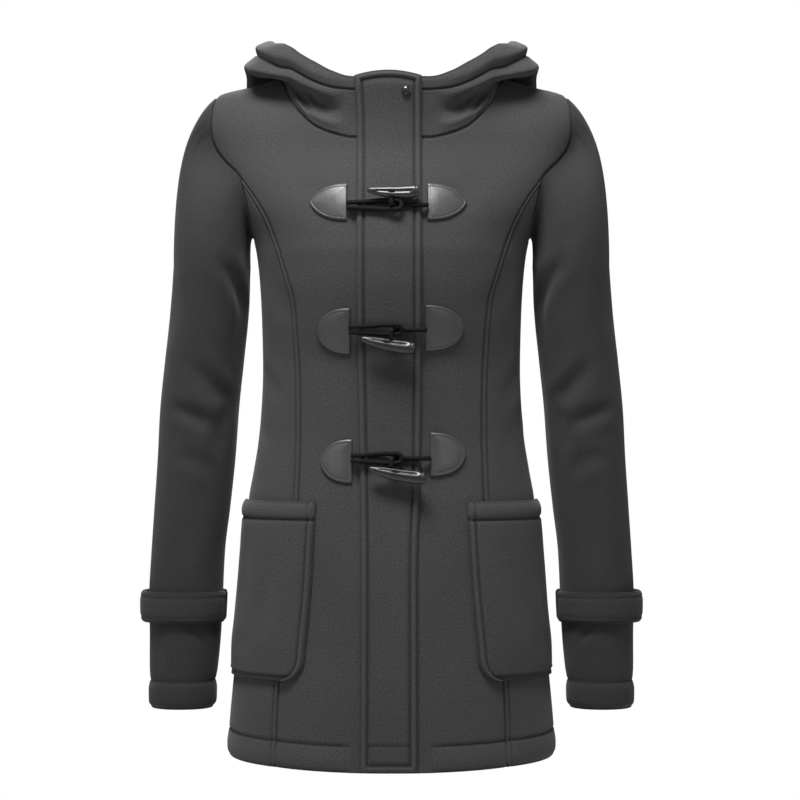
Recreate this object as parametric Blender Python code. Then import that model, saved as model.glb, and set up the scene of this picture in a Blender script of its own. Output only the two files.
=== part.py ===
"""A hooded toggle coat in thick fleece, hollow and standing open as if worn, with no wearer.

Frame: metres, +Z up, the front faces -Y and the wearer's left is +X. The origin is level with the points where
the shoulder seams meet the neckline, midway between them: that is where a wearer's shoulders carry the coat.
The sizes below are in millimetres. Every piece is a wall: a grid of outer points, the same grid moved in by the
cloth's thickness, and a rim that joins the two.
"""

import bpy
import numpy as np

MM = 0.001

# ---------------------------------------------------------------- driving sizes, in millimetres
WALL = 3.0  # bonded fleece
SEAM_GAP = 0.3  # between two pieces that are sewn edge to edge
LAID_GAP = 0.8  # between a panel and what lies on it
HOOD_REST = 2.4  # between the back and the hood that hangs over it
PLACKET_GAP = 0.8  # under the placket, which spans the front opening
PLACKET_WALL = 3.4  # two layers pressed together
LEATHER_WALL = 2.0
STRAP_WALL = 4.4  # two layers with turned edges
CORD_RADIUS = 2.1
TOGGLE_RADIUS = 5.5  # half its depth at the thick end
TOGGLE_TALLER = 1.2  # how much taller than deep it is
SNAP_RADIUS = 4.8

CHEST = -175.0  # height of the underarm point, above which the shoulders round over
SIDE = 4.0  # how far behind the origin the side seams and shoulder seams run
ROUND_FRONT, ROUND_BACK = 2.3, 2.4  # squareness of the body's sections: 2 is an ellipse
HEM_SIDE, HEM_FRONT_DROP = -708.0, 7.0
HEM_STITCH = 26.0  # how far above the edge the hem is stitched
CUFF_END = -659.0

# The body without its sleeves: half width, and how far the front and the back stand from the origin.
TORSO = {
    "columns": ("height", "half", "front", "back"),
    "rows": [
        (-716, 171.5, 127, 127),
        (-697, 171.0, 126, 126),
        (-634, 166.0, 124, 124),
        (-600, 162.5, 122, 122),
        (-550, 157.5, 119, 119),
        (-497, 153.5, 115, 113),
        (-445, 150.0, 110, 104),
        (-413, 144.4, 106, 96),
        (-371, 138.1, 102.5, 88),
        (-308, 134.9, 103, 87),
        (-255, 136.0, 112, 98),
        (-214, 138.3, 118, 106),
        (-190, 141.0, 118.5, 109),
        (-175, 144.0, 116, 110),
        (-143, 159.5, 109, 109),
        (-118, 172.0, 100, 106.5),
        (-72, 190.0, 85, 96),
        (-40, 201.0, 83.5, 84),
        (-15, 207.0, 86, 70),
        (12, 212.0, 89, 62),
    ],
}
# The line along the top of the shoulders, run on to the middle of the neck.
RIDGE = {
    "columns": ("x", "height"),
    "rows": [(0, 80), (60, 40), (93, 13), (117, -1.5), (150, -11.5), (172, -16.5), (183, -20.5), (214, -36)],
}
# Seams drawn in front view. The armholes start at the shoulder tip and end at the underarm.
ARMHOLE_FRONT = {
    "columns": ("x", "height"),
    "rows": [(183, -20.5), (187.5, -38), (188.5, -60), (185, -74), (174.5, -90), (159.5, -105.5),
             (156.5, -110), (153.5, -121), (148.5, -143), (145.3, -163), (144, -175)],
}
ARMHOLE_BACK = {
    "columns": ("x", "height"),
    "rows": [(183, -20.5), (182, -42), (176, -66), (167, -88), (158.5, -106), (153, -124),
             (148.8, -145), (145.5, -163), (144, -175)],
}
PRINCESS_FRONT = {
    "columns": ("height", "x"),
    "rows": [(-716, 117.7), (-674, 116.7), (-626, 114), (-532, 103), (-444, 95), (-366, 92.9), (-339, 93),
             (-298, 94.4), (-239, 99.5), (-212, 107), (-173, 119.7), (-155, 127), (-137, 137.4), (-110, 156.5)],
}
PRINCESS_BACK = {
    "columns": ("height", "x"),
    "rows": [(-716, 106), (-600, 103), (-500, 98), (-420, 92), (-350, 87), (-300, 87), (-255, 93),
             (-210, 106), (-165, 124), (-130, 143), (-106, 158.5)],
}
# The neckline, by angle round the neck from the centre front: 90 is the shoulder seam.
NECKLINE = {
    "columns": ("angle", "x", "height"),
    "rows": [(0, 0, -72), (20, 37, -72), (35, 60, -67), (48, 78, -59), (60, 93, -45.5), (70, 103, -32),
             (80, 110.5, -15.5), (90, 117, -1.5), (105, 113, -5.5), (120, 100, -9.5), (140, 73, -12.5),
             (160, 38, -14.5), (180, 0, -15)],
}
NECK_BOTTOM = -72.0
SHOULDER_FALL = 1.5  # how squarely the body rounds over towards its shoulders

# Where the grids of the pieces on either side of a seam meet
NECK_FRONT_ANGLES = (0, 18, 35, 50, 62, 72, 81, 90)
NECK_BACK_ANGLES = (90, 99, 110, 124, 142, 161, 180)
SHOULDER_STEPS = 3
SEAM_STEPS = 4
TIP_SHARES = (0, 0.05, 0.15, 0.32, 0.54, 0.77, 1)
UNDER_SHARES = (0, 0.3, 0.55, 0.76, 0.9, 1)
SEAM_BASE = -190.0

# The sleeve below its cap: centre, half width and half depth of each ring.
SLEEVE = {
    "columns": ("height", "x", "y", "half", "deep"),
    "rows": [
        (-659, 218.4, -15, 33.5, 38.0),
        (-652, 218.0, -15, 35.4, 39.6),
        (-640, 217.9, -15, 35.6, 39.8),
        (-631, 217.6, -14.5, 34.2, 38.6),
        (-620, 217.0, -14, 35.4, 39.6),
        (-580, 215.3, -12, 37.3, 42),
        (-540, 214.8, -9, 38.6, 44),
        (-500, 213.0, -6, 38.4, 46),
        (-450, 208.6, -3, 39.7, 48),
        (-400, 204.5, 0, 40.7, 50),
        (-350, 201.6, 3, 41.3, 52),
        (-300, 196.6, 4, 41.4, 54),
        (-250, 191.4, 4, 40.8, 57),
        (-200, 188.4, 3, 40.2, 60),
    ],
}
CAP_FOOT = -200.0  # the cap's rings end here and the sleeve's own begin

# The hood pushed back off the head. Each row is a section at that angle round the neck, as how far each point
# of it lies outward from the neckline and upward from it, from the neck seam to the rim.
HOOD_POINTS = ("lift", "stand", "floor", "deep", "turn", "outer", "groove", "band", "rim")
HOOD = {
    "columns": ("angle",) + tuple(f"{point}_{way}" for point in HOOD_POINTS for way in ("out", "up")),
    "rows": [
        #    lift      stand       floor        deep         turn         outer       groove       band        rim
        (0, -0.5, 7, -1, 14, -1, 22, -0.5, 30, 0.2, 37, 1, 44, 1.8, 49, 2.6, 56, 2.6, 62),
        (24, -0.5, 7, -1, 14, -1, 22, -0.5, 30, 0.2, 37, 1, 44, 1.8, 49, 2.6, 56, 2.6, 62),
        (35, 0.5, 5, 1, 11, -2, 17, -3.5, 24, -0.5, 31, 4, 40, 3.5, 47, 5, 56, 3, 64),
        (48, 0.5, 5, 1, 11, -4.5, 16, -7, 23, -1, 31, 7, 39, 6, 47, 8, 57, 4, 67),
        (60, 0, 5, 0, 10, -4.5, 15.5, -5, 22.5, 4, 29, 12, 36, 10, 45, 13, 56, 8, 66),
        (70, -1, 5, -2, 10, -2.5, 15.5, 3, 20, 13, 22.5, 20, 28, 15, 36, 18, 48, 8, 60),
        (82, -3, 4, -3, 9, 4, 12, 17, 9, 30, 9, 38, 17, 26, 29, 26, 38, 11, 45),
        (95, -3, 4, -2, 9, 7, 9.5, 19, 4, 31, 1, 37, 8, 25, 20, 25, 29, 10, 36),
        (115, -3, 4, -1, 8, 9, 7, 26, -5, 45, -17, 53, -6, 46, 16, 46, 26, 35, 31),
        (135, -3, 3.5, 0, 7, 11, 2, 32, -40, 58, -86, 75, -52, 67, 3, 67, 13, 58, 18),
        (155, -3, 3, 0, 6.5, 12, -4, 36, -76, 66, -136, 90, -92, 82, -12, 82, 0, 73, 6),
        (180, -3, 3, 0, 6.5, 12, -8, 38, -94, 70, -158, 99, -110, 91, -22, 91, -8, 82, -1),
    ],
}

# The placket: its edges in front view.
PLACKET = {
    "columns": ("height", "left", "right"),
    "rows": [(-716, -30.7, 25.8), (-520, -30, 25.5), (-400, -31.5, 29), (-220, -34.2, 30), (-60, -34.5, 30),
             (0, -37, 30)],
}
PLACKET_TOP, PLACKET_TOP_ARC = -4.0, 5.0
PLACKET_STITCH = 7.0

# Patch pocket: its inner edge in front view, and its top and bottom.
POCKET = {"top": -444.0, "bottom": -625.0, "band": 18.0, "stitch": 7.0, "corner": 22.0}
POCKET_EDGE = {
    "columns": ("height", "x"),
    "rows": [(-625, 89), (-608, 88), (-540, 82), (-451, 76.5), (-440, 76)],
}

# Each fastening: the height of its two leather tabs, where their straight edges lie and how wide they are, half
# their height and how pointed they are, the height of the cords, and the toggle's two ends.
FASTENINGS = {
    "columns": ("name", "right_tab", "right_edge", "right_wide", "left_tab", "left_edge", "left_wide", "half_tall",
                "point", "cords", "tip_x", "tip_z", "butt_x", "butt_z"),
    "rows": [
        ("top", -139, -44.5, 37.5, -139, 36.5, 39.4, 18.4, 0.66, -143, -22, -128, 26, -129),
        ("mid", -270, -41.5, 33.0, -267, 34.5, 38.0, 22.6, 0.5, -269, -27, -278, 21, -288),
        ("low", -402, -39.5, 31.5, -395, 39.5, 35.0, 21.6, 0.5, -399, -20, -409, 31, -419),
    ],
}

STRAP = {"top": -539.5, "bottom": -570.0, "stand_off": 3.2}
SNAP_AT = (14.8, -24.6)


# ---------------------------------------------------------------- tables and curves
def column(table, name):
    """One named column of a table."""
    place = table["columns"].index(name)
    return np.array([row[place] for row in table["rows"]], float)


def through(xs, ys, at, flat_ends=False):
    """A smooth curve through the points (xs, ys) that never overshoots them, read at `at`."""
    order = np.argsort(xs)
    xs, ys = np.asarray(xs, float)[order], np.asarray(ys, float)[order]
    at = np.clip(np.asarray(at, float), xs[0], xs[-1])
    step = np.diff(xs)
    slope = np.diff(ys) / step
    bend = np.zeros(len(xs))
    before, after = slope[:-1], slope[1:]
    same_way = before * after > 0
    near = 2 * step[1:] + step[:-1]
    far = step[1:] + 2 * step[:-1]
    mean = (near + far) * before * after / np.where(same_way, near * after + far * before, 1.0)
    bend[1:-1] = np.where(same_way, mean, 0.0)
    if not flat_ends:
        bend[0], bend[-1] = slope[0], slope[-1]
    i = np.clip(np.searchsorted(xs, at, side="right") - 1, 0, len(step) - 1)
    t = (at - xs[i]) / step[i]
    rise = t * t * (3 - 2 * t)
    start = t * (1 - t) ** 2 * step[i] * bend[i]
    end = t * t * (t - 1) * step[i] * bend[i + 1]
    return ys[i] * (1 - rise) + ys[i + 1] * rise + start + end


def read(table, name, at):
    """A table's column as a smooth function of its first column."""
    return through(column(table, table["columns"][0]), column(table, name), at)


def along(table, share):
    """The point at that share of the length of a seam that is drawn as (x, height) rows."""
    xs, zs = column(table, "x"), column(table, "height")
    run = np.concatenate([[0], np.cumsum(np.hypot(np.diff(xs), np.diff(zs)))])
    return through(run / run[-1], xs, share), through(run / run[-1], zs, share)


def ease(t):
    """0 to 1 with a soft start and end."""
    t = np.clip(t, 0, 1)
    return t * t * (3 - 2 * t)


def bump(t):
    """1 at t = 0, falling softly to 0 at t = 1 or -1."""
    return 1 - ease(np.abs(t))


# ---------------------------------------------------------------- the body's surface
def torso_from_share(across, depth, z, face, out):
    """A point of the body. across is its share of the half width and depth its share of the front's or back's
    depth; face is -1 for the front and +1 for the back; out moves it off the cloth's outer face."""
    half = read(TORSO, "half", z)
    deep = np.where(face < 0, read(TORSO, "front", z) + SIDE, read(TORSO, "back", z) - SIDE)
    ridge = through(column(RIDGE, "x"), column(RIDGE, "height"), np.abs(across) * half)
    rise = np.clip((z - CHEST) / (ridge - CHEST), 0, 1)
    middle = np.clip((z - CHEST) / (column(RIDGE, "height")[0] - CHEST), 0, 1)
    fall = ((1 - rise**SHOULDER_FALL) / (1 - middle**SHOULDER_FALL)) ** (1 / SHOULDER_FALL)
    x = across * (half + out)
    y = SIDE + face * (deep + out) * depth * fall
    return np.stack(np.broadcast_arrays(x, y, z + out * rise), axis=-1)


def torso(x, z, face, out=0.0):
    """The point of the body's front (face -1) or back (face +1) seen at (x, z) in front view."""
    x, z = np.asarray(x, float), np.asarray(z, float)
    power = ROUND_FRONT if face < 0 else ROUND_BACK
    across = np.clip(x / read(TORSO, "half", z), -1, 1)
    depth = (1 - np.abs(across) ** power) ** (1 / power)
    return torso_from_share(across, depth, z, face, out)


def angle_of(x, z, face):
    """The angle round the body, 0 at the middle of the front or back and 90 at the side seam."""
    power = ROUND_FRONT if face < 0 else ROUND_BACK
    across = np.clip(np.abs(x) / read(TORSO, "half", z), 0, 1)
    return np.degrees(np.arcsin(across ** (power / 2)))


def torso_at_angle(angle, z, face, out=0.0):
    """The point of the front or back at that angle round the body, on the wearer's left."""
    power = ROUND_FRONT if face < 0 else ROUND_BACK
    turn = np.radians(np.clip(angle, 0, 90))
    return torso_from_share(np.sin(turn) ** (2 / power), np.cos(turn) ** (2 / power), z, face, out)


def hem_height(angle):
    """The hem dips a little from the side seams to the centre front."""
    return HEM_SIDE - HEM_FRONT_DROP * np.cos(np.radians(np.clip(angle, 0, 90))) ** 2


def hem_relief(z, hem):
    """The turned-up hem stands 1 mm proud, with its row of stitching pressed in above it."""
    above = z - hem
    puffed = 1.2 * bump((above - 0.45 * HEM_STITCH) / (0.62 * HEM_STITCH))
    pressed = -1.0 * bump((above - HEM_STITCH) / 6.0)
    turned = -1.6 * bump(above / 4.0)
    return puffed + pressed + turned


# ---------------------------------------------------------------- walls
def mesh_object(name, points, faces, material):
    """A mesh object from points in millimetres, turned to face outwards."""
    points = np.asarray(points, float)
    triangles = np.array([(f[0], f[i], f[i + 1]) for f in faces for i in range(1, len(f) - 1)])
    if np.linalg.det(points[triangles]).sum() < 0:
        faces = [tuple(reversed(face)) for face in faces]
    mesh = bpy.data.meshes.new(name)
    mesh.from_pydata((points * MM).tolist(), [], faces)
    mesh.validate()
    mesh.shade_smooth()
    mesh.set_sharp_from_angle(angle=np.radians(50))
    mesh.materials.append(material)
    obj = bpy.data.objects.new(name, mesh)
    bpy.context.scene.collection.objects.link(obj)
    return obj


def wall(name, outer, inner, material, tube=False):
    """A closed wall between two grids of points of the same shape. A tube's columns run all the way round."""
    rows, cols = outer.shape[:2]
    points = np.concatenate([outer.reshape(-1, 3), inner.reshape(-1, 3)])
    far = rows * cols

    def at(row, col, side):
        return side * far + row * cols + col % cols

    faces = []  # both faces of the wall are split along the same diagonals
    for row in range(rows - 1):
        for col in range(cols if tube else cols - 1):
            low, high = at(row, col + 1, 0), at(row + 1, col, 0)
            faces.append((high, at(row + 1, col + 1, 0), low, at(row, col, 0)))
            faces.append((low + far, at(row + 1, col + 1, 1), high + far, at(row, col, 1)))
    for col in range(cols if tube else cols - 1):
        faces.append((at(0, col, 0), at(0, col + 1, 0), at(0, col + 1, 1), at(0, col, 1)))
        faces.append((at(rows - 1, col + 1, 0), at(rows - 1, col, 0),
                      at(rows - 1, col, 1), at(rows - 1, col + 1, 1)))
    if not tube:
        for row in range(rows - 1):
            faces.append((at(row + 1, 0, 0), at(row, 0, 0), at(row, 0, 1), at(row + 1, 0, 1)))
            faces.append((at(row, cols - 1, 0), at(row + 1, cols - 1, 0),
                          at(row + 1, cols - 1, 1), at(row, cols - 1, 1)))
    return mesh_object(name, points, faces, material)


def mirrored(points, side):
    """side +1 keeps the wearer's left, -1 gives the wearer's right."""
    return points * np.array([side, 1, 1])


# ---------------------------------------------------------------- body panels
LOW_ROWS = np.array([-630, -570, -510, -455, -410, -368, -328, -285, -238, SEAM_BASE])
HEM_ROWS = np.array([0, 5, 14, 22, 27, 34], float)  # heights above the hem's edge


def armhole_shares(face):
    """Where the armhole's points lie, as shares of its length from the shoulder tip to the underarm."""
    seam, armhole = seams(face)
    heights = column(armhole, "height")
    xs = column(armhole, "x")
    run = np.concatenate([[0], np.cumsum(np.hypot(np.diff(xs), np.diff(heights)))])
    join = run[np.argmin(np.abs(heights - column(seam, "height").max()))] / run[-1]
    tip, under = np.array(TIP_SHARES), np.array(UNDER_SHARES)
    return np.concatenate([tip * join, join + under[1:] * (1 - join)])


def seams(face):
    """The princess seam and the armhole of the front (-1) or the back (+1)."""
    return (PRINCESS_FRONT, ARMHOLE_FRONT) if face < 0 else (PRINCESS_BACK, ARMHOLE_BACK)


def neckline(angles):
    """The neckline in front view, (x, height)."""
    return np.stack([read(NECKLINE, "x", angles), read(NECKLINE, "height", angles)], axis=-1)


def filled(left, right, low, high, shares):
    """A four-sided patch filled in from its edges; shares says how far up each of its rows lies."""
    v = np.asarray(shares)[:, None, None]
    u = np.linspace(0, 1, len(low))[None, :, None]
    corners = (
        (1 - u) * (1 - v) * low[0] + u * (1 - v) * low[-1] + (1 - u) * v * high[0] + u * v * high[-1]
    )
    return (1 - u) * left[:, None] + u * right[:, None] + (1 - v) * low[None] + v * high[None] - corners


def low_heights(xs_at_hem, face):
    """The heights of a panel's rows from its hem up to the chest, and its hem's height in each column."""
    hem = hem_height(angle_of(xs_at_hem, HEM_SIDE, face))
    rows = [hem + rise for rise in HEM_ROWS] + [np.full(len(hem), height) for height in LOW_ROWS]
    return np.array(rows), hem


def middle_panel(name, side, face, material):
    """Half of the front, or the whole back between its princess seams."""
    seam, armhole = seams(face)
    seam_top = column(seam, "height").max()
    neck = neckline(np.array(NECK_FRONT_ANGLES if face < 0 else NECK_BACK_ANGLES[::-1], float))
    columns = len(neck) + SHOULDER_STEPS
    shares = np.linspace(0, 1, columns)
    edge = SEAM_GAP / 2
    inner_x = edge if face < 0 else 0.0
    # below the chest the rows are level
    heights, hem = low_heights(read(seam, "x", HEM_SIDE) * shares, face)
    xs = inner_x + (read(seam, "x", heights) - edge - inner_x) * shares
    relief = hem_relief(heights, hem) * under_placket(xs, face)
    # above it they run from the middle to the armhole, and the columns end on the neckline and the shoulder
    rise = np.linspace(SEAM_BASE, seam_top, SEAM_STEPS + 1)
    arm = np.stack(along(armhole, armhole_shares(face)), axis=1)[: len(TIP_SHARES)]
    right = np.concatenate([np.stack([read(seam, "x", rise) - edge, rise], axis=1), arm[-2::-1]])
    steps = np.linalg.norm(np.diff(right, axis=0), axis=1)
    v = np.concatenate([[0], np.cumsum(steps)]) / steps.sum()
    left = np.stack([np.full(len(v), inner_x), SEAM_BASE + v * (neck[0, 1] - SEAM_BASE)], axis=1)
    shoulder_x = np.linspace(neck[-1, 0], right[-1, 0], SHOULDER_STEPS + 1)[1:]
    shoulder = np.stack([shoulder_x, through(column(RIDGE, "x"), column(RIDGE, "height"), shoulder_x)], axis=1)
    top = np.concatenate([neck, shoulder])
    top[0, 0] = inner_x
    patch = filled(left, right, np.stack([xs[-1], heights[-1]], axis=1), top, v)
    grids = []
    for out_low, out_high in ((relief, 0.0), (-WALL, -WALL)):
        grid = np.concatenate([torso(xs, heights, face, out_low),
                               torso(patch[1:, :, 0], patch[1:, :, 1], face, out_high)])
        # the shoulder seam lies on the ridge, with half a gap to either side of it
        grid[-1, len(neck) - 1:, 1] = SIDE + face * edge
        if face > 0:
            grid = np.concatenate([grid[:, :0:-1] * [-1, 1, 1], grid], axis=1)
        grids.append(mirrored(grid, side))
    return wall(name, grids[0], grids[1], material)


def under_placket(xs, face):
    """0 where the placket lies over the front, so that the hem lies flat there, and 1 elsewhere."""
    return ease((np.abs(xs) - 38) / 12) if face < 0 else 1.0


def side_panel(name, side, face, material):
    """The panel between a princess seam and the side seam, under the armhole."""
    seam, armhole = seams(face)
    seam_top = column(seam, "height").max()
    edge = SEAM_GAP / 2
    shares = np.linspace(0, 1, len(UNDER_SHARES))
    start = read(seam, "x", HEM_SIDE)
    hem_x = start + (read(TORSO, "half", HEM_SIDE) - start) * shares
    heights, hem = low_heights(hem_x, face)
    first = angle_of(read(seam, "x", heights[:, :1]) + edge, heights[:, :1], face)
    angles = first + (90 - first) * shares
    relief = hem_relief(heights, hem)
    # above the chest: up the princess seam on one side, the side seam on the other and the armhole on top
    rise = np.linspace(SEAM_BASE, seam_top, SEAM_STEPS + 1)
    v = (rise - SEAM_BASE) / (seam_top - SEAM_BASE)
    left = np.stack([angle_of(read(seam, "x", rise) + edge, rise, face), rise], axis=1)
    right = np.stack([np.full(len(v), 90.0), SEAM_BASE + v * (CHEST - SEAM_BASE)], axis=1)
    arm_x, arm_z = (line[len(TIP_SHARES) - 1:] for line in along(armhole, armhole_shares(face)))
    top = np.stack([angle_of(arm_x, arm_z, face), arm_z], axis=1)
    top[0], top[-1] = left[-1], right[-1]
    patch = filled(left, right, np.stack([angles[-1], heights[-1]], axis=1), top, v)
    grids = []
    for out_low, out_high in ((relief, 0.0), (-WALL, -WALL)):
        grid = np.concatenate([torso_at_angle(angles, heights, face, out_low),
                               torso_at_angle(patch[1:, :, 0], patch[1:, :, 1], face, out_high)])
        grid[:, -1, 1] = SIDE + face * edge
        grids.append(mirrored(grid, side))
    return wall(name, grids[0], grids[1], material)


# ---------------------------------------------------------------- sleeves
def armhole_loop(psi, out):
    """The armhole as a closed loop on the wearer's left: psi 0 at the tip, 90 in front, 180 underarm."""
    share = np.where(psi <= 180, psi, 360 - psi) / 180
    front_x, front_z = along(ARMHOLE_FRONT, share)
    back_x, back_z = along(ARMHOLE_BACK, share)
    front, back = torso(front_x, front_z, -1, out), torso(back_x, back_z, 1, out)
    loop = np.where((psi <= 180)[:, None], front, back)
    loop[np.isclose(share, 0) | np.isclose(share, 1), 1] = SIDE
    return loop


def ring(psi, z):
    """A ring of the sleeve at that height, on the wearer's left: psi 0 outwards, 90 in front, 180 inwards."""
    turn = np.radians(psi)
    power = 2 / 2.15
    half, deep = read(SLEEVE, "half", z), read(SLEEVE, "deep", z)
    cx, cy = read(SLEEVE, "x", z), read(SLEEVE, "y", z)
    x = cx + half * np.sign(np.cos(turn)) * np.abs(np.cos(turn)) ** power
    y = cy - deep * np.sign(np.sin(turn)) * np.abs(np.sin(turn)) ** power
    return np.stack(np.broadcast_arrays(x, y, z), axis=-1)


SLEEVE_FOLDS = {
    # soft folds of the arm: where each is deepest (height, angle), how tall and wide it is, its slant and depth
    "columns": ("height", "psi", "tall", "wide", "slant", "deep"),
    "rows": [
        (-262, 120, 26, 62, 0.55, -2.6),
        (-300, 60, 30, 55, 0.4, -1.6),
        (-352, 118, 20, 60, -0.35, -2.4),
        (-378, 60, 17, 70, -0.3, -2.4),
        (-402, 95, 18, 60, 0.3, -2.0),
        (-440, 250, 24, 70, 0.3, -2.2),
        (-350, 250, 24, 70, -0.3, -2.4),
        (-592, 130, 14, 50, 0.2, -1.6),
    ],
}


def folds(psi, z):
    """How far the sleeve's folds push its surface in or out."""
    depth = np.zeros(np.broadcast(psi, z).shape)
    for height, middle, tall, wide, slant, deep in SLEEVE_FOLDS["rows"]:
        turn = (psi - middle + 180) % 360 - 180
        off = z - height - slant * turn * 0.6
        fold = bump(off / tall) - 0.6 * bump((off - tall) / tall)
        depth = depth + deep * fold * bump(turn / wide)
    return depth


def sleeve_point(psi, s):
    """A point of the sleeve's outer face. s is 0 to 1 over the cap, then 1 + millimetres below its foot."""
    psi = np.asarray(psi, float)
    loop = armhole_loop(psi, 0.0)
    ahead, behind = armhole_loop((psi + 0.5) % 360, 0.0), armhole_loop((psi - 0.5) % 360, 0.0)
    run = ahead - behind
    run /= np.linalg.norm(run, axis=1, keepdims=True)
    normal = loop - armhole_loop(psi, -1.0)
    normal /= np.linalg.norm(normal, axis=1, keepdims=True)
    away = np.cross(normal, run)
    away /= np.linalg.norm(away, axis=1, keepdims=True)
    start = loop + away * SEAM_GAP
    foot = ring(psi, CAP_FOOT)
    top_share = ((1 + np.cos(np.radians(psi))) / 2)[:, None]
    lead = 8.0 + (30.0 - 8.0) * top_share
    rise = 34.0 + (120.0 - 34.0) * top_share
    heading = away * np.stack([np.ones(len(psi)), 1 - 0.9 * top_share[:, 0] ** 2, np.ones(len(psi))], axis=1)
    heading /= np.linalg.norm(heading, axis=1, keepdims=True)
    second, third = start + heading * lead, foot + np.array([0, 0, 1.0]) * rise
    third[:, 0] += 1.2 * (1 - top_share[:, 0]) ** 4  # room for the cloth to turn at the underarm
    t = np.clip(s, 0, 1)
    cap = (1 - t) ** 3 * start + 3 * (1 - t) ** 2 * t * second + 3 * (1 - t) * t * t * third + t**3 * foot
    if s <= 1:
        return cap
    return ring(psi, CAP_FOOT - (s - 1))


def sleeve_normal(psi, s):
    """The outward direction of the sleeve's surface."""
    ds = 0.01 if s <= 1 else 1.0
    low, high = (max(s - ds, 0), min(s + ds, 1)) if s <= 1 else (s - ds if s - ds >= 1 else s, s + ds)
    length = sleeve_point(psi, high) - sleeve_point(psi, low)
    round_ = sleeve_point((psi + 2) % 360, s) - sleeve_point((psi - 2) % 360, s)
    normal = np.cross(round_, length)
    return normal / np.linalg.norm(normal, axis=1, keepdims=True)


CAP_ROWS = (0, 0.06, 0.15, 0.3, 0.5, 0.75, 1.0)
SLEEVE_ROWS = (-236, -275, -315, -355, -395, -435, -480, -530, -592, -624, -631, -639, -651, CUFF_END)


def sleeve(name, side, material):
    """The sleeve: its cap from the armhole, then rings down to the turned cuff."""
    psi = np.concatenate([180 * armhole_shares(-1), 360 - 180 * armhole_shares(1)[-2:0:-1]])
    steps = list(CAP_ROWS) + [1 + CAP_FOOT - z for z in SLEEVE_ROWS]
    outer, inner = [], []
    for s in steps:
        normal = sleeve_normal(psi, s)
        points = sleeve_point(psi, s)
        if s > 1:
            points = points + normal * (folds(psi, points[:, 2]) * ease((s - 1) / 30))[:, None]
        outer.append(points)
        inner.append(points - normal * WALL)
    # at the armhole the wall's two faces line up with the body's
    loop_in = armhole_loop(psi, -WALL)
    inner[0] = outer[0] + (loop_in - armhole_loop(psi, 0.0))
    inner[-1] = inner[-1] * [1, 1, 0] + [0, 0, CUFF_END]
    return wall(name, mirrored(np.array(outer), side), mirrored(np.array(inner), side), material, tube=True)


def strap(name, side, material):
    """The band round the cuff, sewn down at both ends beside the sleeve's inner seam."""
    angles = np.array([-166, -145, -122, -100, -80, -62, -45, -28, -10,
                       10, 28, 45, 62, 80, 100, 122, 145, 166], float)
    heights = np.array([STRAP["bottom"], STRAP["bottom"] + 6, STRAP["top"] - 6, STRAP["top"]])
    grids = [[], []]
    for z in heights:
        s = 1 + CAP_FOOT - z
        psi = angles % 360
        base, normal = sleeve_point(psi, s), sleeve_normal(psi, s)
        normal[:, 2] = 0
        normal /= np.linalg.norm(normal, axis=1, keepdims=True)
        lift = LAID_GAP + 0.6 + STRAP["stand_off"] * bump(angles / 75)
        for grid, out in zip(grids, (STRAP_WALL, 0.0), strict=True):
            grid.append(base + normal * (lift + out)[:, None])
    return wall(name, mirrored(np.array(grids[0]), side), mirrored(np.array(grids[1]), side), material)


# ---------------------------------------------------------------- hood
def neck_point(angles, out=0.0):
    """The neckline on the wearer's left at those angles round the neck."""
    x, z = read(NECKLINE, "x", angles), read(NECKLINE, "height", angles)
    front, back = torso(x, z, -1, out), torso(x, z, 1, out)
    points = np.where((np.asarray(angles) < 90)[..., None], front, back)
    points[..., 1] = np.where(np.isclose(angles, 90), SIDE, points[..., 1])
    return points


def neck_away(angles):
    """The direction in which the cloth leaves the neckline: square to the seam, along the body's surface."""
    run = neck_point(np.minimum(angles + 0.5, 180)) - neck_point(np.maximum(angles - 0.5, 0))
    away = np.cross(neck_point(angles, 1.0) - neck_point(angles), run)
    away[..., 0] *= (angles > 0) & (angles < 180)
    return away / np.linalg.norm(away, axis=-1, keepdims=True)


def hood_grid(angles, shares):
    """The hood's outer face on the wearer's left, a row for each angle, from the neck seam to the rim."""
    knots = np.linspace(0, 1, len(HOOD_POINTS) + 1)
    seam = neck_point(angles) + neck_away(angles) * SEAM_GAP
    grid = []
    for angle, start in zip(angles, seam, strict=True):
        outs, ups = (np.array([0.0] + [
            float(through(column(HOOD, "angle"), column(HOOD, f"{point}_{way}"), angle, flat_ends=True))
            for point in HOOD_POINTS
        ]) for way in ("out", "up"))
        turn = np.radians(angle)
        out, up = smooth_line(knots, outs, shares), smooth_line(knots, ups, shares)
        line = start + np.outer(out, [np.sin(turn), -np.cos(turn), 0]) + np.outer(up, [0, 0, 1])
        if angle > 90:  # what hangs behind rests on the back
            rest = torso(line[:, 0], line[:, 2], 1, HOOD_REST * ease(shares / 0.2))
            line[:, 1] = np.maximum(line[:, 1], rest[:, 1])
        grid.append(line)
    return np.array(grid)


def smooth_line(knots, values, at):
    """A rounder curve through evenly spaced values than `through` gives (each slope is its neighbours')."""
    step = knots[1] - knots[0]
    slopes = np.gradient(values, step)
    i = np.clip(((at - knots[0]) / step).astype(int), 0, len(values) - 2)
    t = (at - knots[i]) / step
    rise = t * t * (3 - 2 * t)
    return (values[i] * (1 - rise) + values[i + 1] * rise
            + step * (t * (1 - t) ** 2 * slopes[i] + t * t * (t - 1) * slopes[i + 1]))


HOOD_ANGLES = np.array(NECK_FRONT_ANGLES + NECK_BACK_ANGLES[1:], float)
HOOD_SHARES = np.array([0, 0.055, 0.11, 0.165, 0.22, 0.28, 0.335, 0.39, 0.445, 0.5, 0.555, 0.61, 0.67, 0.72, 0.78,
                        0.86, 0.94, 1.0])


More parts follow.
